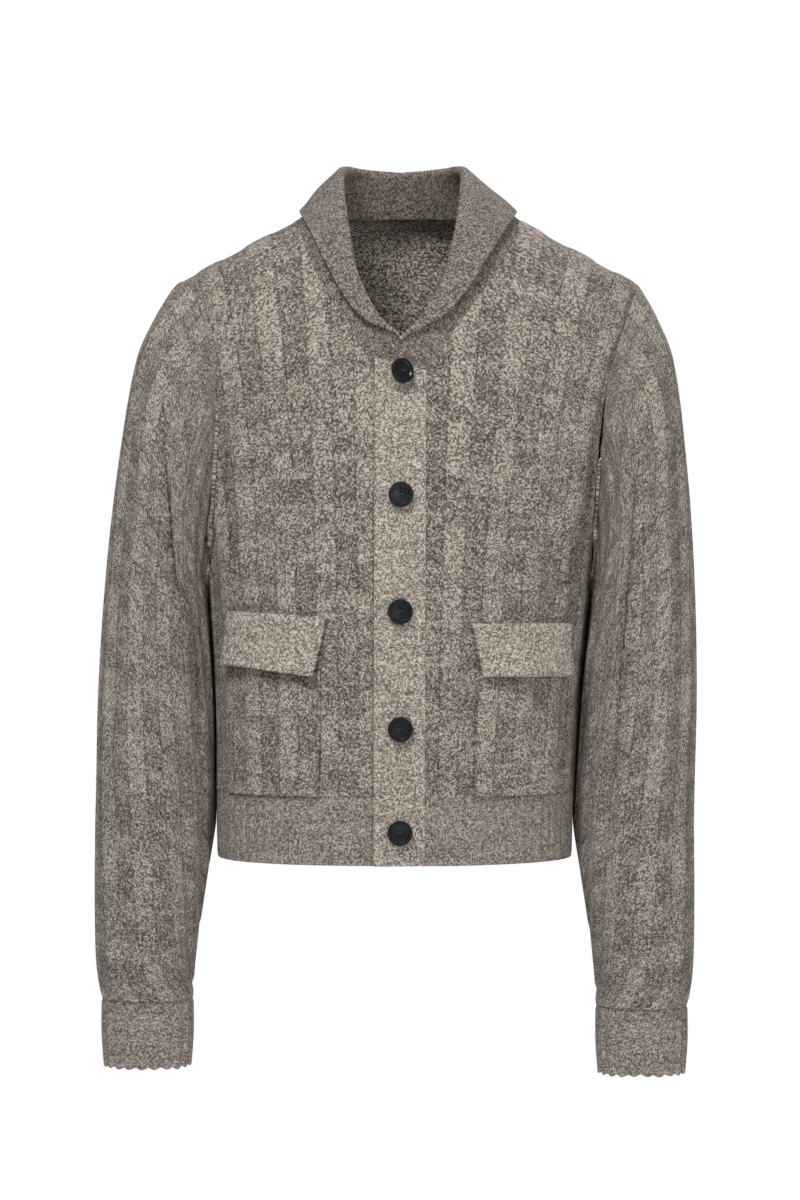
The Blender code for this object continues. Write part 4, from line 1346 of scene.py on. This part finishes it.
# The marl's marks, in waves for each metre. The real yarn's plies are about 0.5 mm thick:
# the marks are drawn as coarse as they need to be to show.
GRAIN = 900.0                # tufts of fibre, 1.1 mm
STREAKS = (170.0, 850.0, 1.0)    # where one ply shows, 6 mm along a row and 1.2 mm high
POOLS = 38.0                 # pooled shades, 26 mm along each wide rib
RIB_SHIFT = 5.37             # sets each rib's pools apart from its neighbours'
CLOUDS = 22.0                # faint clouds, 45 mm
ROW_SHADES = (14.0, 150.0, 1.0)  # rows knitted from a darker or lighter length, 70 mm by 7 mm
CASTS = 130.0                # pinkish and olive casts, 8 mm
WANDER = 70.0                # rows and wales wander over 14 mm
WANDER_BY = 0.004

GRAIN_SHARE = 0.30
CLOUD_DEPTH = 0.008
POOL_EDGES = (0.44, 0.56)
STEP_SHADE = 3.0             # the line of painted shade between ribs, as a share of the purl ribs' painted shade
STEP_WIDTH = 0.11            # and its width, as a share of a rib
SHADE_PLACES = (0.28, 0.50, 0.74)
SLANT = 1.5                  # courses that a stitch's legs climb across a wale
WALE_GAP = 0.16              # half width of the gap between wales, as a share of a wale
WALE_GAP_DEPTH = 1.4
FIBRE_HEIGHT = 3.0
STITCH_HEIGHT = 0.0006


def knit_finish(name, dark, middle, light, rib=None, blocks=0.0, purl_shade=0.0, rows=0.02,
                streak=0.3):
    """Marled carded wool: a cream and a dark ply twisted together, so each stitch shows more
    of one than the other and short streaks run along the rows. Brushed and matt, with a thin
    halo of fibre. Stitches are V shapes, wale by course."""
    material, tree, inputs = new_material(
        name, Roughness=0.95, IOR=1.54, Specular_IOR_Level=0.15, Sheen_Weight=0.12,
        Sheen_Roughness=0.55, Sheen_Tint=linear("#d8cfc6"))
    new = partial(add, tree)
    metres = new("UVMap", uv_map="cloth_metres")
    u, v = new("SeparateXYZ", Vector=metres).node.outputs[:2]

    # a slight wander of the rows and wales, so that nothing is ruled
    wander = new("TexNoise", noise_dimensions="2D", Vector=metres, Scale=WANDER, Detail=1.0)
    shifted = new("Math", operation="MULTIPLY_ADD", i0=wander, i1=WANDER_BY, i2=v)
    wale_place = new("Math", operation="DIVIDE", i0=u, i1=WALE)
    half_wale = new("Math", operation="PINGPONG", i0=wale_place, i1=0.5)
    course_place = new("Math", operation="DIVIDE", i0=shifted, i1=COURSE)
    slanted = new("Math", operation="MULTIPLY_ADD", i0=half_wale, i1=SLANT, i2=course_place)
    wale_index = new("Math", operation="FLOOR", i0=wale_place)
    course_index = new("Math", operation="FLOOR", i0=slanted)

    # which ply shows: by stitch, and in short streaks along the row
    cell = new("CombineXYZ", X=wale_index, Y=course_index)
    by_stitch = new("TexWhiteNoise", noise_dimensions="2D", Vector=cell)
    on_row = new("CombineXYZ", X=u, Y=shifted)
    stretched = new("VectorMath", operation="MULTIPLY", i0=on_row, i1=STREAKS)
    by_streak = new("TexNoise", noise_dimensions="2D", Vector=stretched, Scale=1.0, Detail=2.0,
                    Roughness=0.6)
    grain = new("TexNoise", noise_dimensions="2D", Vector=metres, Scale=GRAIN, Detail=2.0,
                Roughness=0.75)
    mixed = new("Mix", data_type="FLOAT", Factor=streak, i2=by_stitch, i3=by_streak)
    level = new("Mix", data_type="FLOAT", Factor=GRAIN_SHARE, i2=mixed, i3=grain)

    shades = []
    if rib:
        # pooled shades along each wide rib
        rib_place = new("Math", operation="DIVIDE", i0=u, i1=rib)
        rib_index = new("Math", operation="FLOOR", i0=rib_place)
        along = new("Math", operation="MULTIPLY", i0=v, i1=POOLS)
        apart = new("Math", operation="MULTIPLY", i0=rib_index, i1=RIB_SHIFT)
        pool_place = new("CombineXYZ", X=apart, Y=along)
        pool = new("TexNoise", noise_dimensions="2D", Vector=pool_place, Scale=1.0, Detail=1.0)
        start, end = POOL_EDGES
        shades.append(new("MapRange", interpolation_type="SMOOTHSTEP", Value=pool, i1=start,
                          i2=end, i3=-blocks, i4=blocks))
        # purl ribs sit back, and the shade in them is painted: they are coloured darker than the
        # knit ribs beside them
        purl = new("Math", operation="PINGPONG", i0=rib_index, i1=1.0)
        shades.append(new("Math", operation="MULTIPLY_ADD", i0=purl, i1=-2.0 * purl_shade, i2=purl_shade))
        # and the step between them holds a line of shade
        to_step = new("Math", operation="PINGPONG", i0=rib_place, i1=0.5)
        shades.append(new("MapRange", interpolation_type="SMOOTHSTEP", Value=to_step, i1=0.0,
                          i2=STEP_WIDTH, i3=-STEP_SHADE * purl_shade, i4=0.0))
    clouds = new("TexNoise", noise_dimensions="2D", Vector=metres, Scale=CLOUDS, Detail=3.0)
    shades.append(new("MapRange", Value=clouds, i1=0.3, i2=0.7, i3=-CLOUD_DEPTH,
                      i4=CLOUD_DEPTH))
    row_place = new("VectorMath", operation="MULTIPLY", i0=on_row, i1=ROW_SHADES)
    row_shade = new("TexNoise", noise_dimensions="2D", Vector=row_place, Scale=1.0, Detail=2.0,
                    Roughness=0.6)
    shades.append(new("MapRange", Value=row_shade, i1=0.35, i2=0.65, i3=-rows, i4=rows))
    for shade in shades:
        level = new("Math", operation="ADD", i0=level, i1=shade)
    colours = new("ValToRGB", Fac=level)
    stops = colours.node.color_ramp.elements
    stops.new(SHADE_PLACES[1])
    for stop, place, shade in zip(stops, SHADE_PLACES, (dark, middle, light)):
        stop.position = place
        stop.color = linear(shade)

    # a faint drift between a pinkish and an olive cast
    drift = new("TexNoise", noise_dimensions="2D", Vector=metres, Scale=CASTS, Detail=2.0)
    cast = new("Mix", 2, data_type="RGBA", Factor=drift, i6=linear("#fff5f4"),
               i7=linear("#f5f8ec"))
    tinted = new("Mix", 2, data_type="RGBA", blend_type="MULTIPLY", Factor=1.0, i6=colours,
                 i7=cast)
    tree.links.new(tinted, inputs["Base Color"])

    # stitches: round legs that meet in a V, with gaps between rows and wales
    turn = new("Math", operation="MULTIPLY", i0=slanted, i1=math.tau)
    leg = new("Math", operation="SINE", i0=turn)
    gap = new("MapRange", interpolation_type="SMOOTHSTEP", Value=half_wale, i1=0.0,
              i2=WALE_GAP, i3=-WALE_GAP_DEPTH, i4=0.0)
    stitched = new("Math", operation="ADD", i0=leg, i1=gap)
    fibres = new("Math", operation="MULTIPLY_ADD", i0=grain, i1=FIBRE_HEIGHT, i2=stitched)
    raised = new("Bump", Strength=0.7, Distance=STITCH_HEIGHT, Height=fibres)
    tree.links.new(raised, inputs["Normal"])
    return material


def button_finish():
    """Cast polyester, turned and polished: near black navy, glossy on the rim, with faint
    4 mm swirls and 1 mm scuffs."""
    material, tree, inputs = new_material("polished_polyester_button", IOR=1.56,
                                          Specular_IOR_Level=0.30)
    place, _ = mottle(tree, inputs, 240.0, 3.0, "#050607", "#0d0f12")
    worn = add(tree, "TexNoise", Vector=place, Scale=900.0, Detail=2.0)
    rough = add(tree, "MapRange", Value=worn, i1=0.3, i2=0.7, i3=0.22, i4=0.34)
    tree.links.new(rough, inputs["Roughness"])
    return material


def thread_finish():
    """Spun polyester sewing thread, dark grey, matt, its 0.4 mm ply twist as a fine bump."""
    material, tree, inputs = new_material("spun_polyester_thread", Roughness=0.8)
    _, twist = mottle(tree, inputs, 2600.0, 1.0, "#16171b", "#2e3036")
    raised = add(tree, "Bump", Strength=0.4, Distance=0.0002, Height=twist)
    tree.links.new(raised, inputs["Normal"])
    return material


def floor_finish():
    """Pale painted studio floor, matt, with faint 0.3 m clouds."""
    material, tree, inputs = new_material("pale_studio_floor", Roughness=0.9)
    mottle(tree, inputs, 3.0, 2.0, "#f6f6f6", "#fafafa")
    return material


# ---- studio

FLOOR_Z = -1.60
FLOOR_RADIUS = 3.2
ROOM_LIGHT = 0.33            # what the white room itself gives, next to the lamps
LIGHT_AIM = Vector((0.0, 0.0, -0.35))
LIGHTS = (                   # name, place, width and height, watts
    ("key_light", (-0.8, -2.1, 1.9), 1.0, 104.0),
    ("fill_light", (1.3, -2.4, 0.2), 1.7, 38.0),
    ("back_light", (1.2, 2.6, 1.3), 1.6, 75.0),
)
CAMERA_PLACE = (0.0, -2.6, -0.352)
CAMERA_LENS = 84.8


def put(name, data, place, rotation):
    thing = bpy.data.objects.new(name, data)
    thing.location = place
    thing.rotation_euler = rotation
    bpy.context.scene.collection.objects.link(thing)
    return thing


def make_studio():
    bpy.ops.object.select_all(action="DESELECT")
    bpy.ops.mesh.primitive_circle_add(vertices=96, radius=FLOOR_RADIUS, fill_type="NGON")
    floor = bpy.context.object
    floor.name = "studio_floor"
    floor.data.transform(Matrix.Translation((0.0, 0.0, FLOOR_Z)))
    floor.data.materials.append(floor_finish())

    world = bpy.data.worlds.new("white_studio")
    bpy.context.scene.world = world
    world.use_nodes = True
    tree = world.node_tree
    backdrop = tree.nodes["Background"]
    backdrop.inputs["Color"].default_value = linear("#ffffff")
    room = add(tree, "Background", Color=linear("#ffffff"), Strength=ROOM_LIGHT)
    seen = add(tree, "LightPath", "Is Camera Ray")
    both = add(tree, "MixShader", Fac=seen, i1=room, i2=backdrop.outputs[0])
    tree.links.new(both, tree.nodes["World Output"].inputs["Surface"])

    for name, place, size, power in LIGHTS:
        data = bpy.data.lights.new(name, "AREA")
        data.shape = "RECTANGLE"
        data.size = data.size_y = size
        data.energy = power
        put(name, data, place, (LIGHT_AIM - Vector(place)).to_track_quat("-Z", "Y").to_euler())
    bpy.context.scene.view_settings.view_transform = "Standard"

    camera_data = bpy.data.cameras.new("camera")
    camera_data.lens = CAMERA_LENS
    bpy.context.scene.camera = put("camera", camera_data, CAMERA_PLACE, (math.pi / 2, 0.0, 0.0))


# ---- the whole garment

WRONG_SIDE = knit_finish("marled_wool_wrong_side", "#3a3633", "#857d76", "#ece4da", streak=0.4)
# the wide rib knit gets painted shade: its purl ribs are coloured darker, and the steps between
# ribs hold a painted line of shade
RIB_KNIT = knit_finish("marled_wool_wide_rib", "#423e3c", "#79716c", "#c4bcb3", rib=RIB,
                       blocks=0.036, purl_shade=0.024)
COLLAR_KNIT = knit_finish("marled_wool_collar_knit", "#403b39", "#6f6661", "#aea59e", rows=0.025)
BAND_KNIT = knit_finish("marled_wool_band_knit", "#5a5550", "#968e87", "#d8d0c7", rows=0.035)
TRIM_RIB = knit_finish("marled_wool_narrow_rib", "#4f4b47", "#837b75", "#bcb4ac", rows=0.025)

make_back((RIB_KNIT, WRONG_SIDE))
make_fronts((RIB_KNIT, WRONG_SIDE))
make_hem_bands((TRIM_RIB, WRONG_SIDE))
make_sleeves((RIB_KNIT, WRONG_SIDE))
make_cuffs((TRIM_RIB, WRONG_SIDE))
make_bands((BAND_KNIT, WRONG_SIDE))
make_collar((COLLAR_KNIT,))
make_pockets((RIB_KNIT,), (BAND_KNIT,))
make_buttons(button_finish(), thread_finish())
make_studio()
